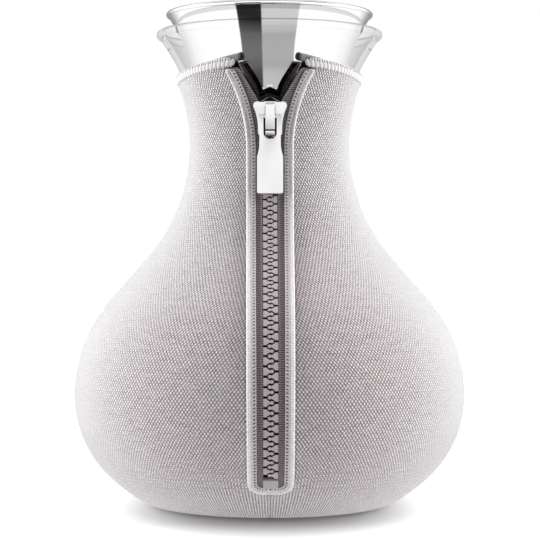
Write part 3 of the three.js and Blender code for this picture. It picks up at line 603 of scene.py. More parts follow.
rib_foot = strainer_floor + foot_height / 2
rib_head = flange_bottom + 0.0025
rib_top = gauze_top_radius + fit_gap
rib_outline = [
    (foot_middle, rib_foot),
    (foot_middle + rib_depth, rib_foot),
    (rib_top + rib_depth, rib_head),
    (rib_top, rib_head),
]
ribs = []
for quarter in range(4):
    turn = Matrix.Rotation(math.radians(45 + 90 * quarter), 4, "Z")
    ribs.append(cut_out("rib", rib_outline, rib_width, turn @ side_view(-rib_width / 2), rib_edge))
join(frame_collar, foot_ring, *ribs)
frame_collar.name = "strainer_frame_moulding"
dress(frame_collar, "strainer", "black_plastic", [moulded_black], "strainer_frame")

# Strainer gauze: a cup of plain woven steel wire, open between the wires. It sits inside the frame's
# ribs, between the foot ring and the collar.
gauze_bottom = strainer_floor + foot_height + fit_gap
gauze_top = flange_bottom - fit_gap
gauze_thickness = 0.0003
gauze_round = 0.001
gauze_wall = gauze_bottom + gauze_round
gauze_cup = turned("strainer_gauze", [
    (0, gauze_bottom),
    (gauze_foot_radius - gauze_round, gauze_bottom),
    (gauze_foot_radius, gauze_wall),
    *[(
        gauze_foot_radius + (gauze_top_radius - gauze_foot_radius) * part,
        gauze_wall + (gauze_top - gauze_wall) * part,
    ) for part in between(0, 1, 8)[1:]],
    (gauze_top_radius - gauze_thickness, gauze_top),
    (gauze_foot_radius - gauze_thickness, gauze_wall + gauze_thickness),
    (gauze_foot_radius - gauze_round, gauze_bottom + gauze_thickness),
    (0, gauze_bottom + gauze_thickness),
], 96)


def sum_of(tree, operation, *values):
    node = put(tree, "Math", dict(enumerate(values)), operation=operation)
    return node.outputs[0]


def product(tree, first, *others):
    for other in others:
        first = sum_of(tree, "MULTIPLY", first, other)
    return first


def wave(tree, value, rate):
    return sum_of(tree, "COSINE", product(tree, value, rate))


wires_round = 200.0
wires_up = 10500.0
woven_wire, tree, shader = finish_of("woven_wire", {"Base Color": (0.62, 0.62, 0.63, 1), "Metallic": 1})
spot = parts_of(tree, put(tree, "TexCoord").outputs["Object"])
turn = sum_of(tree, "ARCTAN2", spot["Y"], spot["X"])
square = sum_of(tree, "ADD", product(tree, spot["X"], spot["X"]), product(tree, spot["Y"], spot["Y"]))
reach = sum_of(tree, "ADD", spot["Z"], sum_of(tree, "SQRT", square))
weave = sum_of(tree, "MAXIMUM", wave(tree, turn, wires_round), wave(tree, reach, wires_up))
give(tree, shader, {
    "Alpha": ramp(tree, weave, 0.05, 0.25),
    "Roughness": ramp(tree, weave, 0.0, 1.0, 0.5, 0.25),
})
relief(tree, shader, weave, 0.6, 0.0002)
dress(gauze_cup, "strainer", "steel_mesh", [woven_wire], "strainer_mesh")

# Cover panels: two halves of a thick two-tone knit on a black lining, sewn together down the back and
# below the zip. They are stretched over the glass, a little fuller just above the floor.
cover_thickness = 0.0018
full_at = 0.0145
full_spread = 0.008
full_out = 0.0011
zip_end = 0.0329
zip_half = 0.0081
zip_corner = 0.0056
zip_taper = 0.0004
zip_taper_run = 0.08
v_spread = 0.0074
collar_width = 0.0036
collar_level = waist_level + 0.0258
collar_rise = 0.0054
panel_columns = 150
panel_rows = 180
seam_half = 0.0014
seam_dip = 0.0004
loops_round = 55
course_height = 0.00188


def length_at(level):
    """How far up the side line a level on the neck's arc is."""
    return neck_start + cover_neck_arc * (shoulder_angle + math.asin((level - waist_level) / cover_neck_arc))


neck_open_start = length_at(waist_level - 0.0027)
neck_open_length = length_at(collar_level) - neck_open_start
panel_limit = length_at(waist_level + 0.03)


def zip_edge(along):
    """From the middle of the front to the knit's edge."""
    rise = along - zip_end
    if rise <= 0:
        return 0
    if rise < zip_corner:
        return zip_half - zip_corner + math.sqrt(zip_corner**2 - (zip_corner - rise) ** 2)
    upright = zip_half + zip_taper * min(1, rise / zip_taper_run)
    return upright + v_spread * (max(0, along - neck_open_start) / neck_open_length) ** 2


def collar_top(angle):
    return length_at(collar_level + collar_rise * ((1 + math.cos(angle)) / 2) ** 3)


def hump(distance, spread):
    """From 1 at no distance down to nothing past the spread."""
    return math.exp(-((distance / spread) ** 2))


def on_cover(angle, along, out):
    """A point by its angle from the front, its way up the side line and its height over the cover."""
    radius, height = side_offset(along, out + full_out * hump(along - full_at, full_spread))
    return Vector((radius * math.sin(angle), -radius * math.cos(angle), height))


def beside_zip(across, along, out):
    """The same by its distance from the middle of the front."""
    return on_cover(math.asin(across / side_line(along)[0]), along, out)


def laid(name, columns, rows, place):
    """Cloth laid on a grid. place gives the point and the map of each part across and part along."""
    bpy.ops.object.select_all(action="DESELECT")
    bpy.ops.mesh.primitive_grid_add(x_subdivisions=columns, y_subdivisions=rows, size=2)
    cloth = named(name)
    placed = [place((vertex.co.x + 1) / 2, (vertex.co.y + 1) / 2) for vertex in cloth.data.vertices]
    cloth.data.vertices.foreach_set("co", [value for point, _ in placed for value in point])
    weave_map = cloth.data.uv_layers.active.data
    for loop in cloth.data.loops:
        weave_map[loop.index].uv = placed[loop.vertex_index][1]
    cloth.data.update()
    bpy.ops.object.shade_smooth()
    return cloth


def backed(cloth, thickness):
    """Gives a cloth its thickness on the inside. Its second material is the back's."""
    shaped(cloth, "SOLIDIFY", thickness=thickness, offset=-1, material_offset=1)
    return cloth


def from_zip(across, side):
    """How far a part across is from the zip, on the right half for side 1 and the left for side -1."""
    return across if side > 0 else 1 - across


def within(value, low, high):
    """From 0 at low to 1 at high."""
    return min(1, max(0, (value - low) / (high - low)))


def knit_panel(name, side):
    """One half of the cover, right of the zip for side 1 and left of it for side -1."""
    low_share = 0.82

    def place(across, up):
        along = up / low_share * neck_open_start
        for _ in range(5):
            along = min(along, panel_limit)
            radius = side_line(along)[0]
            front = math.asin(zip_edge(along) / radius)
            angle = front + (math.pi - front) * from_zip(across, side)
            if up <= low_share:
                break
            top = collar_top(angle) - collar_width / 2
            along = neck_open_start + (up - low_share) / (1 - low_share) * (top - neck_open_start)
        dip = hump((math.pi - angle) * radius, seam_half)
        if along < zip_end + 0.002:
            dip += 0.5 * hump(angle * radius, seam_half)
        loops = loops_round
        if along > lower_length:
            loops *= (radius / (belly_radius + cover_stand)) ** 0.77
        point = on_cover(side * angle, along, -seam_dip * min(dip, 1))
        return point, ((angle - 0.9) * loops, along / course_height)

    panel = laid(name, panel_columns, panel_rows, place)
    panel.data.materials.append(two_tone_knit)
    panel.data.materials.append(black_lining)
    # Painted shade: the knit is darkened in a band about 4 mm wide beside the zip, most from 4 to 12 cm up,
    # partly for the seam's pull and partly as the welt's shadow.
    drawn_in_and_shaded = panel.data.attributes.new("drawn_in_and_shaded", "FLOAT", "POINT")
    for vertex in panel.data.vertices:
        part = from_zip(vertex.index % (panel_columns + 1) / panel_columns, side)
        beside = math.pi * math.hypot(vertex.co.x, vertex.co.y) * part
        pull = 0.9 * within(vertex.co.z, 0.04, 0.08) * (1 - 0.7 * within(vertex.co.z, 0.115, 0.135))
        drawn_in_and_shaded.data[vertex.index].value = pull * math.exp(-beside / 0.004)
    return backed(panel, cover_thickness)


def value_mix(tree, factor, low, high):
    return put(tree, "Mix", {"Factor": factor, "A": low, "B": high}).outputs["Result"]


knit, given, taken = effect("knit_loops", {"Map": "Vector", "Ribs": "Float"}, ["Loop", "Height"])
crooked = put(knit, "TexNoise", {"Vector": given["Map"], "Scale": 0.9, "Detail": 2})
nudge = put(knit, "VectorMath", {0: crooked.outputs["Color"], 1: (0.5, 0.5, 0.5)}, operation="SUBTRACT")
sway = put(knit, "VectorMath", {0: nudge.outputs["Vector"], "Scale": 0.42}, operation="SCALE")
moved = put(knit, "VectorMath", {0: given["Map"], 1: sway.outputs["Vector"]}, operation="ADD")
row = parts_of(knit, moved.outputs["Vector"])
around = product(knit, row["X"], 2 * math.pi)
upward = product(knit, row["Y"], 2 * math.pi)
leaning = sum_of(knit, "COSINE", sum_of(knit, "ADD", around, upward))
other = sum_of(knit, "COSINE", sum_of(knit, "SUBTRACT", around, upward))
diagonal = sum_of(knit, "MULTIPLY_ADD", leaning, 0.55, product(knit, other, 0.45))
diagonal = sum_of(knit, "MULTIPLY_ADD", product(knit, leaning, other), 0.2, diagonal)
crosswise = product(knit, wave(knit, upward, 2.0), 0.25)
rib = sum_of(knit, "MULTIPLY_ADD", sum_of(knit, "COSINE", around), 0.85, crosswise)
loose = sum_of(knit, "MULTIPLY_ADD", noise(knit, given["Map"], 1.9, 4, 0.75), 2.6, -1.3)
surface = sum_of(knit, "ADD", value_mix(knit, given["Ribs"], diagonal, rib), loose)
give(knit, taken, {"Loop": ramp(knit, surface, -0.35, 0.8, smooth=True), "Height": surface})


def looped(tree, weave_map, ribs):
    return put(tree, "Group", {"Map": weave_map, "Ribs": ribs}, node_tree=knit).outputs


two_tone_knit, tree, shader = finish_of("two_tone_knit", {
    "Roughness": 0.9, "Sheen Weight": 0.8, "Sheen Roughness": 0.5, "Sheen Tint": (1, 0.98, 0.98, 1),
    "Specular IOR Level": 0.2})
coords = put(tree, "TexCoord").outputs
level = parts_of(tree, coords["Object"])["Z"]
loops = looped(tree, coords["UV"], ramp(tree, level, 0.005, 0.026, 0.9, 0.0))
melange = noise(tree, stretched(tree, coords["UV"], (0.2, 0.9, 0)), 1, 3)
# Painted light: from 7 to 13 cm up the light yarn is painted lighter, for the brighter light on the neck,
# and the dark yarn is darker there.
neck_painted_light = ramp(tree, level, 0.07, 0.13, smooth=True)
dark_yarn = colour_mix(tree, melange, (0.125, 0.098, 0.107), (0.42, 0.362, 0.382))
higher_darker_yarn = colour_mix(tree, neck_painted_light, dark_yarn, (0.84, 0.84, 0.84), "MULTIPLY")
light_yarn = colour_mix(tree, neck_painted_light, (0.84, 0.81, 0.818), (0.97, 0.95, 0.955))
shade = colour_mix(tree, loops["Loop"], higher_darker_yarn, light_yarn)
# Painted shade: the knit beside the zip is darkened by half, partly for the seam's pull and partly as the
# welt's shadow.
drawn_in_and_shaded = put(tree, "Attribute", attribute_name="drawn_in_and_shaded").outputs["Fac"]
sewn_and_shaded = colour_mix(tree, drawn_in_and_shaded, shade, (0.5, 0.475, 0.48), "MULTIPLY")
# Painted sheen: where the knit is seen on edge, above its lowest 1 to 3.5 cm, its colour is paled towards
# white as a painted highlight at its outline.
grazing = put(tree, "LayerWeight", {"Blend": 0.5}).outputs["Facing"]
grazing_painted_sheen = product(tree, ramp(tree, grazing, 0.2, 0.9, 0.0, 0.45, True), ramp(tree, level, 0.012, 0.035))
give(tree, shader, {"Base Color": colour_mix(tree, grazing_painted_sheen, sewn_and_shaded, (0.93, 0.96, 0.96))})
relief(tree, shader, loops["Height"], 0.35, 0.0004)

black_lining, tree, shader = finish_of("black_lining", {"Roughness": 0.95})
loops = looped(tree, put(tree, "TexCoord").outputs["UV"], 1.0)
shade = colour_mix(tree, loops["Loop"], (0.006, 0.006, 0.007), (0.02, 0.019, 0.02))
give(tree, shader, {"Base Color": shade})
relief(tree, shader, loops["Height"], 0.3, 0.0003)

for name, side, node in (
    ("knit_panel_right", 1, "cover_panel_right"),
    ("knit_panel_left", -1, "cover_panel_left"),
):
    panel = knit_panel(name, side)
    dress(panel, "carafe", "knit", [two_tone_knit, black_lining], node)

# Cover base: a round of the same knit, sewn in under the glass. Its seam is a shallow groove near the
# edge.
base_radius = foot_radius - fit_gap
base_bottom = 0.0001
base_cloth = turned("cover_base_round", [
    (0, base_bottom),
    (base_radius - 0.003, base_bottom),
    (base_radius - 0.0022, base_bottom + 0.0004),
    (base_radius - 0.0015, base_bottom),
    (base_radius - 0.0004, base_bottom),
    (base_radius, base_bottom + 0.0005),
    (base_radius, cover_thickness - 0.0006),
    (base_radius - 0.0005, cover_thickness),
    (0, cover_thickness),
], 128, 60)

base_knit, tree, shader = finish_of("base_knit", {"Roughness": 0.9, "Sheen Weight": 0.2})
loops = looped(tree, stretched(tree, put(tree, "TexCoord").outputs["Object"], (730, 532, 0)), 0.0)
shade = colour_mix(tree, loops["Loop"], (0.33, 0.29, 0.305), (0.8, 0.77, 0.78))
give(tree, shader, {"Base Color": shade})
relief(tree, shader, loops["Height"], 0.35, 0.0004)
dress(base_cloth, "carafe", "knit", [base_knit], "cover_base")

# Collar: a folded knit band sewn over the cover's top edge, one length on each side from the V to the
# back. Dark stitches run along both its edges. Its inside is plain and painted pale, painted light for its
# shaded inside as the steel mirrors it, and dark near the blunt front ends, where the lining shows, which is
# also painted shade in the steel's reflection by the V.
collar_section = [
    (0.0, -0.0001), (0.08, 0.00015), (0.35, 0.0003), (0.65, 0.0003), (0.88, 0.0001), (1.0, -0.0006),
    (0.97, -0.0013), (0.85, -0.0018), (0.5, -0.002), (0.12, -0.002), (0.0, -0.001),
]
collar_radius = 0.0365
collar_loop = 0.0018
collar_slant = 0.8
collar_curl = 0.9
band_core = -0.0007
v_top = neck_open_start
for _ in range(12):
    v_top = collar_top(math.asin(zip_edge(v_top) / side_line(v_top)[0])) - collar_width - fit_gap


def round_through(corners, part):
    """A point on the smooth closed line through the corners."""
    whole = int(part * len(corners))
    rest = part * len(corners) - whole
    a, b, c, d = (Vector(corners[(whole + i - 1) % len(corners)]) for i in range(4))
    return b + 0.5 * rest * (c - a + rest * (2 * a - 5 * b + 4 * c - d + rest * (3 * (b - c) + d - a)))


def blunt(distance, length):
    """From 0 at an end to 1 a length away from it, as on a round end."""
    return math.sqrt(1 - (1 - min(1, max(0, distance) / length)) ** 2)


def closed(piece):
    """Closes a tube of cloth along its joint and at its ends."""
    bpy.ops.object.mode_set(mode="EDIT")
    bpy.ops.mesh.select_all(action="SELECT")
    bpy.ops.mesh.remove_doubles(threshold=2e-6)
    bpy.ops.mesh.normals_make_consistent(inside=False)
    bpy.ops.object.mode_set(mode="OBJECT")
    bpy.ops.object.shade_smooth()
    return piece


def collar_band(name, side):
    front = math.asin((zip_edge(v_top) - 0.0036) / side_line(v_top)[0])
    run = (math.pi - front) * collar_radius

    def place(across, up):
        part = from_zip(across, side)
        angle = front + (math.pi - front) * part
        full = blunt(part * run, 0.0019) * blunt((1 - part) * run, 0.0006)
        share, out = round_through(collar_section, up)
        loop = part * run / collar_loop
        if out > -0.0002:
            turn = loop + collar_slant * share + collar_curl * (share - 0.5) ** 2
            out += 0.00002 * math.cos(2 * math.pi * turn)
        share = 0.5 + (share - 0.5) * full
        out = band_core + (out - band_core) * full
        along = collar_top(angle) - collar_width * (1 - share)
        return on_cover(side * angle, along, out), (loop, share if up < 0.46 else share + 2)

    return closed(laid(name, 480, 28, place))


collar_knit, tree, shader = finish_of("collar_knit", {
    "Roughness": 0.9, "Sheen Weight": 0.2, "Specular IOR Level": 0.2})
coords = put(tree, "TexCoord").outputs
loop = parts_of(tree, coords["UV"])
middle = sum_of(tree, "POWER", sum_of(tree, "SUBTRACT", loop["Y"], 0.5), 2.0)
slant = sum_of(tree, "MULTIPLY_ADD", loop["Y"], collar_slant, loop["X"])
ridge = wave(tree, sum_of(tree, "MULTIPLY_ADD", middle, collar_curl, slant), 2 * math.pi)
surface = sum_of(tree, "MULTIPLY_ADD", noise(tree, coords["Object"], 2200, 3), 0.9, ridge)
shade = colour_mix(tree, ramp(tree, surface, -0.55, 0.6), (0.5, 0.46, 0.47), (0.84, 0.82, 0.825))
holes = ramp(tree, wave(tree, loop["X"], 3.3 * math.pi), 0.35, 0.65)
from_middle = sum_of(tree, "ABSOLUTE", sum_of(tree, "SUBTRACT", loop["Y"], 0.48))
thread = product(tree, holes, ramp(tree, from_middle, 0.25, 0.29))
sewn_and_shaded = colour_mix(tree, thread, shade, (0.07, 0.058, 0.062))
# Painted light and shade: the inside is pale, to lighten its shaded inside in the steel's reflection, and
# dark near the front ends, where the lining shows and the reflection by the V is to be dark.
painted_inside = colour_mix(tree, ramp(tree, loop["X"], 1.0, 2.2), (0.06, 0.055, 0.057), (0.8, 0.79, 0.79))
give(tree, shader, {"Base Color": colour_mix(tree, ramp(tree, loop["Y"], 1.2, 1.5), sewn_and_shaded, painted_inside)})
relief(tree, shader, surface, 0.1, 0.0003)
for name, side, node in (
    ("collar_band_right", 1, "neck_binding_right"),
    ("collar_band_left", -1, "neck_binding_left"),
):
    band = collar_band(name, side)
    dress(band, "carafe", "binding", [collar_knit], node)

# Zip welt: a smooth piping and an overlocked facing round the zip's opening, in one length from the
# collar down, round the lower end and up again. The facing is held by slanting dark stitches.
welt_width = 0.0032
welt_stitch = 0.0013
welt_section = [
    (-0.05, 0.0002), (-0.06, 0.0007), (0.0, 0.0013), (0.17, 0.0016), (0.35, 0.0013), (0.44, 0.001),
    (0.6, 0.001), (0.85, 0.00095), (0.98, 0.0008), (1.0, 0.0005), (0.6, 0.0004), (0.2, 0.0003),
]
welt_core = 0.4
welt_core_out = 0.0008
welt_seat = 0.0004
corner_along = zip_end + zip_corner
welt_straight = v_top - corner_along
welt_bend = math.pi / 2 * (zip_corner - welt_width / 2)
welt_flat = 2 * (zip_half - zip_corner)
welt_run = 2 * welt_straight + 2 * welt_bend + welt_flat


def welt_line(way, inset):
    """Across and along of the welt's line at a way from its middle, set in from the knit's edge."""
    side = math.copysign(1, way)
    way = abs(way)
    if way < welt_flat / 2:
        return side * way, zip_end + inset
    if way < welt_flat / 2 + welt_bend:
        turn = (way - welt_flat / 2) / welt_bend * math.pi / 2
        radius = zip_corner - inset
        return side * (welt_flat / 2 + radius * math.sin(turn)), corner_along - radius * math.cos(turn)
    along = corner_along + way - welt_flat / 2 - welt_bend
    return side * (zip_edge(along) - inset), along


def welt_place(across, up):
    way = (up - 0.5) * welt_run
    share, out = round_through(welt_section, across)
    low = 1 - 0.45 * hump(way, 0.009)
    out = welt_seat + (out - welt_seat) * low
    if share > 0.65 and out > 0.0006:
        out += 0.00007 * math.cos(2 * math.pi * (abs(way) / welt_stitch - 1.2 * share))
    full = blunt(welt_run / 2 - abs(way), 0.001)
    share = welt_core + (share - welt_core) * full
    out = welt_core_out + (out - welt_core_out) * full
    return beside_zip(*welt_line(way, share * welt_width), out), (across, way / welt_stitch)


welt = closed(laid("zip_welt_piping", 36, 1100, welt_place))

welt_knit, tree, shader = finish_of("welt_knit", {
    "Roughness": 0.85, "Sheen Weight": 0.2, "Specular IOR Level": 0.25})
coords = put(tree, "TexCoord").outputs
stitch = parts_of(tree, coords["UV"])
slant = sum_of(tree, "MULTIPLY_ADD", stitch["X"], -3.0, sum_of(tree, "ABSOLUTE", stitch["Y"]))
thread = ramp(tree, wave(tree, slant, 2 * math.pi), 0.15, -0.4)
edging = product(tree, ramp(tree, stitch["X"], 0.515, 0.54), ramp(tree, stitch["X"], 0.625, 0.6))
sunk = product(tree, thread, edging)
rows = sum_of(tree, "SINE", product(tree, stitch["Y"], 2.9 * math.pi))
uneven = sum_of(tree, "MULTIPLY_ADD", noise(tree, coords["Object"], 1300, 4, 0.7), 2.4, -0.7)
soft = sum_of(tree, "MULTIPLY_ADD", rows, 0.22, uneven)
shade = colour_mix(tree, soft, (0.52, 0.485, 0.498), (0.82, 0.79, 0.8))
piped = colour_mix(tree, soft, (0.64, 0.61, 0.62), (0.95, 0.93, 0.937))
bright = colour_mix(tree, ramp(tree, stitch["X"], 0.4, 0.32), shade, piped)
give(tree, shader, {"Base Color": colour_mix(tree, sunk, bright, (0.1, 0.082, 0.088))})
relief(tree, shader, sum_of(tree, "SUBTRACT", soft, sunk), 0.3, 0.0002)
dress(welt, "carafe", "binding", [welt_knit], "zip_welt")

# Zip tapes: two woven tapes with fine cross ribs, sewn under the welt. Each has a cord along the edge
# that its row of teeth is moulded on.
stop_bottom = 0.0363
slider_along = length_at(waist_level + 0.0085)
slider_half = 0.0064
tooth_foot = 0.00268
tape_rib = 0.00082
tape_out = 0.0001
tape_thickness = 0.0005
cord_radius = 0.0004
cord_length = 0.13
cord_end = 0.0005
tape_inner = [
    (zip_end + 0.0018, 0.00015),
    (stop_bottom - 0.0006, 0.00015),
    (stop_bottom - 0.0003, tooth_foot + fit_gap),
    (slider_along, tooth_foot + fit_gap),
    (slider_along + slider_half, tooth_foot + fit_gap + 0.0016),
    (v_top, zip_edge(v_top) - fit_gap - 0.0042),
]


def tape_edge(along):
    """From the middle of the zip to the tape's inner edge."""
    for (low, near), (high, far) in zip(tape_inner, tape_inner[1:]):
        if low <= along <= high:
            return near + (far - near) * (along - low) / (high - low)
    return tape_inner[-1][1]


def zip_tape(name, side):
    low = tape_inner[0][0]

    def place(across, up):
        part = from_zip(across, side)
        along = low + (v_top - low) * up
        inner = tape_edge(along)
        out = tape_out + 0.00004 * within(part, 0.75, 0.6) * math.cos(2 * math.pi * along / tape_rib)
        beside = inner + (zip_edge(along) - fit_gap - inner) * part
        return beside_zip(side * beside, along, out), (part, along / tape_rib)

    def cord_place(across, up):
        along = stop_bottom + (v_top - stop_bottom) * up
        turn = 2 * math.pi * across
        size = cord_radius * blunt(min(up, 1 - up) * cord_length, cord_end)
        size *= 1 + 0.12 * math.cos(2 * math.pi * along / tape_rib)
        beside = tape_edge(along) + size * math.cos(turn)
        return beside_zip(side * beside, along, tape_out + size * math.sin(turn)), (across, along / tape_rib)

    tape = backed(laid(name, 12, 900, place), tape_thickness)
    return join(tape, closed(laid(name + "_cord", 12, 900, cord_place)))


ribbed_tape, tree, shader = finish_of("ribbed_tape", {
    "Roughness": 0.8, "Sheen Weight": 0.15, "Specular IOR Level": 0.25})
coords = put(tree, "TexCoord").outputs
rib = parts_of(tree, coords["UV"])
ridge = product(tree, wave(tree, rib["Y"], 2 * math.pi), ramp(tree, rib["X"], 0.75, 0.6))
surface = sum_of(tree, "ADD", noise(tree, coords["Object"], 2600, 3), ridge)
shade = colour_mix(tree, ramp(tree, surface, -0.6, 1.5), (0.085, 0.066, 0.072), (0.36, 0.305, 0.325))
give(tree, shader, {"Base Color": shade})
relief(tree, shader, surface, 0.12, 0.0002)
for name, side, node in (("tape_right", 1, "zip_tape_right"), ("tape_left", -1, "zip_tape_left")):
    tape = zip_tape(name, side)
    dress(tape, "carafe", "zip_tape", [ribbed_tape], node)

# Zip guard: a black strip behind the teeth that keeps the zip off the glass, and a black sheet of painted
# shade in the gaps between the teeth. It ends in a point above the slider, and a black facing runs on from
# it behind both edges of the V, painted shade that darkens those edges and their reflection in the steel.
slider_end = slider_along + slider_half
guard_half = 0.0052
guard_point = 0.0024
guard_out = -0.002
guard_course = 0.0012
guard_thickness = 0.0003
facing_width = 0.0026
facing_out = -0.0008
facing_thickness = 0.0004


def guard_place(across, up):
    beside = (2 * across - 1) * guard_half
    end = slider_end + guard_point - 0.3 * abs(beside)
    along = stop_bottom + (end - stop_bottom) * up
    return beside_zip(beside, along, guard_out), (across * 6, along / guard_course)


def facing_shade_strip(name, side):
    def place(across, up):
        part = from_zip(across, side)
        along = slider_end - 0.003 + (v_top + 0.002 - slider_end) * up
        shown = facing_width / 2 * math.sin(math.pi * (0.2 + 0.8 * up))
        beside = max(tape_edge(along) - shown + part * facing_width, 0.0001)
        return beside_zip(side * beside, along, facing_out), (part * 3, along / guard_course)

    return backed(laid(name, 8, 60, place), facing_thickness)


guard_and_shade_sheet = backed(laid("zip_guard_and_shade", 12, 160, guard_place), guard_thickness)
join(guard_and_shade_sheet, facing_shade_strip("facing_right", 1), facing_shade_strip("facing_left", -1))
dress(guard_and_shade_sheet, "carafe", "zip_tape", [black_lining])

# Zip teeth: moulded teeth clamped on the tapes' cords, one row half a pitch above the other, so that each
# head sits between two necks. A block closes the rows below, and a small stop ends each row above.
tooth_pitch = 0.0036
tooth_top = 0.0011
tooth_bottom = -0.0009
tooth_height = tooth_top - tooth_bottom
tooth_edge = 0.00013
tooth_side = [
    (tooth_foot, 0.00145), (0.0014, 0.00145), (0.0012, 0.00105), (0.001, 0.00088), (0.0008, 0.00077),
    (0.00055, 0.00064), (0.0003, 0.00047), *arc((-0.0004, 0), 0.0007, 42, 165, 9),
]
stop_length = 0.0042
stop_half = stop_length / 2
stop_corner = 0.0012
stop_edge = 0.0003
top_stop_inner = 0.0013
top_stop_length = 0.0022
first_tooth = stop_bottom + stop_length + fit_gap + tooth_pitch / 2
tooth_count = int((slider_along - first_tooth) / tooth_pitch)


def shade_painted_where(piece, inside):
    """Marks the points of a piece that pass a test as lying deep, where no light falls, for painted shade
    there.
    """
    depth = piece.data.attributes.new("depth", "FLOAT", "POINT")
    for vertex in piece.data.vertices:
        depth.data[vertex.index].value = 1 if inside(vertex.co) else 0


def zip_place(along, out=0):
    """The place of a piece on the zip's line: X across, Y up the zip and Z out of the cover."""
    tilt = Matrix.Rotation(math.pi / 2 - side_line(along)[2], 4, "X")
    return Matrix.Translation(on_cover(0, along, 0)) @ tilt @ Matrix.Translation((0, 0, out))


def tooth_row(name, side, start):
    lower = [(side * across, -half) for across, half in tooth_side]
    upper = [(side * across, half) for across, half in reversed(tooth_side)]
    tooth = cut_out(name, [*lower, *upper], tooth_height, Matrix.Identity(4), tooth_edge)
    # Painted shade: each tooth is painted near black below its top face, for the shade between the teeth.
    shade_painted_where(tooth, lambda point: point.z < tooth_height - 0.00006)
    row = []
    for i in range(tooth_count):
        copy = bpy.data.objects.new(f"{name}_{i}", tooth.data.copy())
        bpy.context.scene.collection.objects.link(copy)
        copy.data.transform(zip_place(start + i * tooth_pitch, tooth_bottom))
        row.append(copy)
    bpy.data.objects.remove(tooth)
    join(*row)
    row[0].name = name
    return row[0]


moulded_teeth, tree, shader = finish_of("moulded_teeth", {})
place, grain = handled(tree, shader, 0.35, 0.5)
shade = colour_mix(tree, noise(tree, place, 350, 2), (0.42, 0.375, 0.378), (0.56, 0.515, 0.515))
# Painted shade: the teeth turn near black below their top faces.
painted_shade = put(tree, "Attribute", attribute_name="depth").outputs["Fac"]
give(tree, shader, {"Base Color": colour_mix(tree, painted_shade, shade, (0.02, 0.018, 0.019))})
relief(tree, shader, grain, 0.1, 0.0001)
for name, side, start, node in (
    ("teeth_row_right", 1, first_tooth, "zip_teeth_right"),
    ("teeth_row_left", -1, first_tooth + tooth_pitch / 2, "zip_teeth_left"),
):
    dress(tooth_row(name, side, start), "carafe", "zip_teeth", [moulded_teeth], node)

bottom_stop = cut_out("bottom_stop", [
    (tooth_foot, stop_half),
    (-tooth_foot, stop_half),
    *arc((stop_corner - tooth_foot, stop_corner - stop_half), stop_corner, 180, 270, 8),
    *arc((tooth_foot - stop_corner, stop_corner - stop_half), stop_corner, 270, 360, 8),
], tooth_height + fit_gap, zip_place(stop_bottom + stop_half, tooth_bottom), stop_edge)
dress(bottom_stop, "carafe", "zip_teeth", [moulded_teeth], "zip_bottom_stop")
for name, side, node in (
    ("top_stop_right", 1, "zip_top_stop_right"),
    ("top_stop_left", -1, "zip_top_stop_left"),
):
    inner = min(side * top_stop_inner, side * tooth_foot)
    outer = max(side * top_stop_inner, side * tooth_foot)
    top_stop = cut_out(name, [
        (inner, 0), (outer, 0), (outer, top_stop_length), (inner, top_stop_length),
    ], tooth_height, zip_place(slider_along, tooth_bottom), stop_edge)
    dress(top_stop, "carafe", "zip_teeth", [moulded_teeth], node)

# Zip slider: a cast body of two plates on a wedge, with side flanges that press the rows together. A thin
# gabled rim on the lower plate shows above it, and a slot in the upper plate takes the bridge and the tab.
plate_gap = 0.00025
slider_waist = 0.0045
slider_wing = 0.0063
slider_corner = 0.0012
plate_thickness = 0.0009
lower_thickness = 0.0006
bridge_width = 0.0035
slider_sag = cover_neck_arc - math.sqrt(cover_neck_arc**2 - slider_half**2)
plate_level = tooth_top + plate_gap + slider_sag
plate_middle = plate_level + plate_thickness / 2
plate_top = plate_level + plate_thickness
lower_level = tooth_bottom - plate_gap - lower_thickness
slider_place = zip_place(slider_along)


def swept(start, pull, end, count=8):
    """Points on the curve from start to end that bends towards pull."""
    points = []
    for part in between(0, 1, count)[1:]:
        shares = ((1 - part) ** 2, 2 * part * (1 - part), part**2)
        points.append(tuple(
            sum(share * point[axis] for share, point in zip(shares, (start, pull, end))) for axis in (0, 1)))
    return points


def both_sides(right):
    """A closed outline from the line of its right side, top to bottom."""
    return [*right, *[(-across, up) for across, up in reversed(right) if across > 1e-9]]


def risen(level):
    return slider_place @ Matrix.Translation((0, 0, level))


upper_right = [(bridge_width / 2, slider_half)]
for pull, end, count in (
    ((bridge_width, slider_half - slider_corner / 2), (slider_waist, slider_half), 8),
    ((slider_wing, slider_half), (slider_wing, slider_half - 0.0019), 10),
    ((slider_waist + 0.0002, 0.0012), (slider_waist, -0.003), 12),
    ((slider_waist, -0.004), (slider_waist, slider_corner - slider_half), 1),
    ((slider_waist, -slider_half), (slider_waist - slider_corner, -slider_half), 6),
):
    upper_right += swept(upper_right[-1], pull, end, count)
upper_outline = both_sides(upper_right)
slider_upper = cut_out("slider_casting", upper_outline, plate_thickness, risen(plate_level), 0.00015)
slot_half = bridge_width / 2 + 0.00075
slot_neck = bridge_width / 2 + 0.0002
slot = cut_out("slot", both_sides([
    (slot_neck, 0.0046), (slot_neck, 0.0004), (slot_half, 0.0004), (slot_half, -0.0075),
]), plate_thickness, risen(plate_level + 0.0001), 0.00005)
cut_with(slider_upper, slot, 30)
slider_lower = cut_out("slider_lower", both_sides([
    (slider_waist - 0.0004, slider_half - slider_corner + 0.0004),
    (slider_waist, slider_half - slider_corner),
    (slider_waist, 0),
    (slider_waist - slider_corner, slider_corner - slider_half),
]), lower_thickness, risen(lower_level), 0.0002)
rim_thickness = 0.0003
rim_peak = slider_half + 0.0018
rim_foot = slider_half - 0.0007
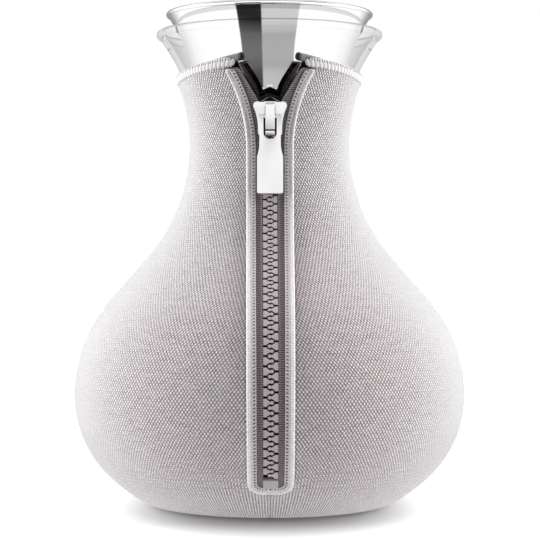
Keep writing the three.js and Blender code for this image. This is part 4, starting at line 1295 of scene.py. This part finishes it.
slider_rim = cut_out("slider_rim", [
    (slider_waist, rim_foot),
    (0, rim_peak),
    (-slider_waist, rim_foot),
    (-slider_waist, rim_foot - rim_thickness),
    (0, rim_peak - 1.2 * rim_thickness),
    (slider_waist, rim_foot - rim_thickness),
], 2 * lower_thickness, risen(lower_level), 0.0001)
wedge_half = 0.001
wedge_top = slider_half - slider_corner / 2
wedge_run = 0.0021
wedge_level = lower_level + lower_thickness / 2
slider_wedge = cut_out("slider_wedge", [
    (0, wedge_top),
    (-wedge_half, wedge_top - wedge_run),
    (0, wedge_top - 2 * wedge_run),
    (wedge_half, wedge_top - wedge_run),
], plate_middle - wedge_level, risen(wedge_level), 0.0001)
flange_inner = tooth_foot + plate_gap
flange_width = 0.001
flange_level = 0.0001 + slider_sag + plate_gap
flanges = []
for side in (-1, 1):
    inner = min(side * flange_inner, side * (flange_inner + flange_width))
    flanges.append(cut_out("flange", [
        (inner, slider_corner - slider_half),
        (inner + flange_width, slider_corner - slider_half),
        (inner + flange_width, -fit_gap),
        (inner, -fit_gap),
    ], plate_middle - flange_level, risen(flange_level), 0.0002))
join(slider_upper, slider_lower, slider_rim, slider_wedge, *flanges)
slider_back = slider_place.inverted()


def in_slot(point):
    across, _, out = slider_back @ point
    return abs(across) < slot_half + 0.0002 and out < plate_top - 0.0002


# Painted shade: the slot's walls and the plate below its top are painted black, for the shade inside the
# slider.
shade_painted_where(slider_upper, in_slot)
dress(slider_upper, "slider", "satin_steel", [satin_steel], "slider_body")

# Slider bridge: a pressed steel arch riveted on the slider, which holds the pull tab's pin. A narrow
# notch crosses its top.
pin_radius = 0.00075
pivot_out = plate_top + fit_gap + pin_radius
bridge_foot = plate_level + 0.0002
bridge_under = pivot_out + pin_radius + fit_gap
bridge_top = bridge_under + 0.0009
bridge_half = slider_half - 0.0003
bridge_leg = 0.0012
bridge_edge = 0.00012
bridge_side = [(bridge_half - bridge_leg, bridge_top)]
bridge_side += swept(bridge_side[-1], (bridge_half, bridge_top), (bridge_half, bridge_top - bridge_leg))
bridge_side += [
    (bridge_half, bridge_foot),
    (bridge_half - bridge_leg, bridge_foot),
    (bridge_half - bridge_leg, bridge_under),
]
arch_outline = both_sides(bridge_side)
notch = arch_outline.index((-bridge_side[0][0], bridge_side[0][1]))
notch_start = 0.0017 - bridge_half
notch_end = notch_start + 0.0005
notch_floor = bridge_top - 0.0006
arch_outline[notch + 1:notch + 1] = [
    (notch_start, bridge_top), (notch_start, notch_floor), (notch_end, notch_floor), (notch_end, bridge_top),
]
slider_arch = cut_out(
    "slider_arch", arch_outline, bridge_width, slider_place @ side_view(-bridge_width / 2), bridge_edge)


def in_notch(point):
    _, up, out = slider_back @ point
    return notch_start - 0.0001 < up < notch_end + 0.0001 and out < bridge_top - 0.0001


# Painted shade: the notch's floor and walls are painted black, for the shade in it.
shade_painted_where(slider_arch, in_notch)
bright_steel = steel_with_painted_shade("bright_steel", (0.88, 0.88, 0.875), 0.22, 0.34, 0.05)
dress(slider_arch, "slider", "satin_steel", [bright_steel], "slider_bridge")

# Pull tab: a stamped steel tab on a pin under the bridge, with two arms round a window, a waist and a
# bare square end. It hangs with its end resting close over the teeth.
tab_length = 0.0287
tab_thickness = 0.0012
tab_end = 0.00485
tab_arm = 0.00445
tab_waist = 0.00395
tab_round = 0.0007
tab_edge = 0.00007
arm_corner = 0.0003
window_half = bridge_width / 2 + 0.0007
window_end = 0.0085
tab_swing = next(joint["pos_m"] for joint in frame["joints"] if joint["name"] == "pull_swing")
end_run = tab_length - 0.0008
teeth_rise = cover_neck_arc - math.sqrt((cover_neck_arc - tooth_top) ** 2 - end_run**2)
tab_tilt = math.asin((teeth_rise + 2 * fit_gap + tab_thickness / 2 - pivot_out) / tab_length)
tab_turn = math.pi / 2 - side_line(slider_along)[2] - tab_tilt
tab_place = Matrix.Translation(tab_swing) @ Matrix.Rotation(tab_turn, 4, "X")
tab_side = arc((0, window_half - window_end), window_half, -90, 0, 10)[1:]
tab_side += [
    (window_half, pin_radius),
    (tab_arm - arm_corner, pin_radius),
    (tab_arm, pin_radius - arm_corner),
]
tab_side += swept(tab_side[-1], (tab_arm, -0.00345), (tab_waist, -0.0069))
tab_side.append((tab_waist, -0.0095))
tab_side += swept(tab_side[-1], (tab_waist, -0.0125), (tab_end, -0.0148))
tab_side += arc((tab_end - tab_round, tab_round - tab_length), tab_round, 0, -90, 6)
tab_outline = [*tab_side, *[(-across, up) for across, up in reversed(tab_side)], (0, -window_end)]
tab_plate = cut_out("pull_tab_stamping", tab_outline, tab_thickness,
                    tab_place @ Matrix.Translation((0, 0, -tab_thickness / 2)), tab_edge)
pin_half = (window_half + tab_arm) / 2
pin_profile = [(0, -pin_half), (pin_radius, -pin_half), (pin_radius, pin_half), (0, pin_half)]
tab_pin = turned("tab_pin", pin_profile, 32)
tab_pin.data.transform(tab_place @ Matrix.Rotation(math.pi / 2, 4, "Y"))
join(tab_plate, tab_pin)
dress(tab_plate, "pull_tab", "satin_steel", [satin_steel], "pull_tab")

# Studio: a white floor and a white surround, with two soft lights beside and a little in front of the
# carafe and one above it. Only the steel and the glass see the rest: a dark and a grey board in front, a
# dark ring above it and a darker back. The floor glows a little on to the belly.
mouth_level = 0.18


def length_of(tree, vector):
    return put(tree, "VectorMath", {0: vector}, operation="LENGTH").outputs["Value"]


boards, given, taken = effect("studio_boards", {"Way": "Vector"}, ["Near", "Through", "Side"])
way = parts_of(boards, given["Way"])
whole = length_of(boards, given["Way"])
across = length_of(boards, stretched(boards, given["Way"], (1, 1, 0)))
bearing = sum_of(boards, "ARCTAN2", way["X"], product(boards, way["Y"], -1.0))


def board_edge(share, lean):
    """From 0 on the left of a board's upright edge to 1 on its right, as the funnel shows it."""
    ahead = sum_of(boards, "SUBTRACT", product(boards, whole, lean), way["Y"])
    return ramp(boards, sum_of(boards, "DIVIDE", way["X"], ahead), share - 0.008, share + 0.008)


deep = ramp(boards, across, 0.19, 0.29, 0.98, 0.88)
pale = ramp(boards, across, 0.19, 0.29, 0.42, 0.62)
left = board_edge(-0.338, 1.0)
right = sum_of(boards, "SUBTRACT", 1.0, board_edge(0.295, 1.0))
split = value_mix(boards, board_edge(-0.127, 0.4), deep, pale)
ahead = ramp(boards, way["Y"], 0.01, -0.01)
far = ramp(boards, across, 0.3, 1.2, 1.0, 0.8)
in_front = product(boards, split, left, right, ahead, far)
hidden = product(boards, in_front, ramp(boards, across, 0.46, 0.36))
turned_away = sum_of(boards, "ABSOLUTE", bearing)
give(boards, taken, {
    "Near": sum_of(boards, "SUBTRACT", 1.0, hidden),
    "Through": sum_of(boards, "SUBTRACT", 1.0, in_front),
    "Side": ramp(boards, turned_away, math.radians(160), math.radians(120), smooth=True),
})


def surroundings(tree, way):
    """What lies in a way: the boards, the tone that the steel reflects and the tone that the glass shows."""
    seen = put(tree, "Group", {"Way": way}, node_tree=boards).outputs
    return seen, value_mix(tree, seen["Side"], 0.33, 1.15), value_mix(tree, seen["Side"], 0.95, 1.08)


bpy.ops.object.select_all(action="DESELECT")
bpy.ops.mesh.primitive_plane_add(size=8)
floor = bpy.context.object
floor.name = "studio_floor"
floor_white, tree, shader = finish_of("floor_white", {
    "Roughness": 1, "Specular IOR Level": 0, "Emission Color": (1, 1, 1, 1)})
ray = put(tree, "LightPath").outputs
place = put(tree, "TexCoord").outputs["Object"]
from_mouth = put(tree, "VectorMath", {0: place, 1: (0, 0, -mouth_level)}, operation="ADD")
seen, outer, inner = surroundings(tree, from_mouth.outputs["Vector"])
mirrored = value_mix(tree, ray["Is Glossy Ray"], 1.0, product(tree, seen["Near"], outer))
tone = value_mix(tree, ray["Is Transmission Ray"], mirrored, product(tree, seen["Through"], inner))
away = length_of(tree, stretched(tree, place, (1.8, 1, 1)))
clear = ramp(tree, away, 0.058, 0.132, smooth=True)
close = ramp(tree, away, 0.08, 0.22, 0.5, 0.0, True)
by_piece = sum_of(tree, "MAXIMUM", ray["Is Glossy Ray"], ray["Is Transmission Ray"])
painted = sum_of(tree, "SUBTRACT", 1.0, product(tree, by_piece, clear))
shown = sum_of(tree, "MAXIMUM", ray["Is Camera Ray"], by_piece)
lifted = product(tree, ray["Is Diffuse Ray"], close)
give(tree, shader, {
    "Base Color": colour_mix(tree, product(tree, tone, painted), (0, 0, 0), (0.42, 0.42, 0.42)),
    "Emission Strength": sum_of(tree, "ADD", product(tree, shown, tone, clear), lifted),
})
floor.data.materials.append(floor_white)

studio = bpy.data.worlds.new("studio")
bpy.context.scene.world = studio
studio.use_nodes = True
tree = studio.node_tree
ray = put(tree, "LightPath").outputs
bearing = put(tree, "TexCoord").outputs["Generated"]
way = parts_of(tree, bearing)
above = ramp(tree, way["Z"], 0.0, 1.0, 0.125, 0.35)
ring = product(tree, ramp(tree, way["Z"], 0.4, 0.55), ramp(tree, way["Z"], 0.92, 0.82),
               ramp(tree, way["Y"], 0.1, -0.1))
_, outer, inner = surroundings(tree, bearing)
outside = product(tree, outer, sum_of(tree, "MULTIPLY_ADD", ring, -0.8, 1.0))
mirrored = value_mix(tree, ray["Is Glossy Ray"], above, outside)
level = value_mix(tree, ray["Is Transmission Ray"], mirrored, inner)
give(tree, tree.nodes["Background"], {
    "Color": (1, 1, 1, 1),
    "Strength": value_mix(tree, ray["Is Camera Ray"], level, 1.0),
})

lit_middle = Vector((0, 0, 0.09))
for name, place, size, power in (
    ("light_left", (-0.95, -0.05, 0.28), 0.8, 15),
    ("light_right", (0.95, -0.05, 0.28), 0.8, 15),
    ("light_above", (0, 0.0, 1.2), 1.2, 7),
):
    lamp = bpy.data.lights.new(name, "AREA")
    lamp.size = size
    lamp.energy = power
    soft_light = bpy.data.objects.new(name, lamp)
    bpy.context.scene.collection.objects.link(soft_light)
    soft_light.location = place
    soft_light.visible_glossy = False
    soft_light.visible_transmission = False
    soft_light.rotation_euler = (lit_middle - Vector(place)).to_track_quat("-Z", "Y").to_euler()

lens = bpy.data.cameras.new("photo_camera")
lens.lens = 126.7
lens.sensor_width = 36
camera = bpy.data.objects.new("photo_camera", lens)
bpy.context.scene.collection.objects.link(camera)
camera.location = (-0.0046, -0.741, 0.0915)
camera.rotation_euler = (math.pi / 2, 0, math.radians(-0.371))
bpy.context.scene.camera = camera
bpy.context.scene.view_settings.view_transform = "Standard"
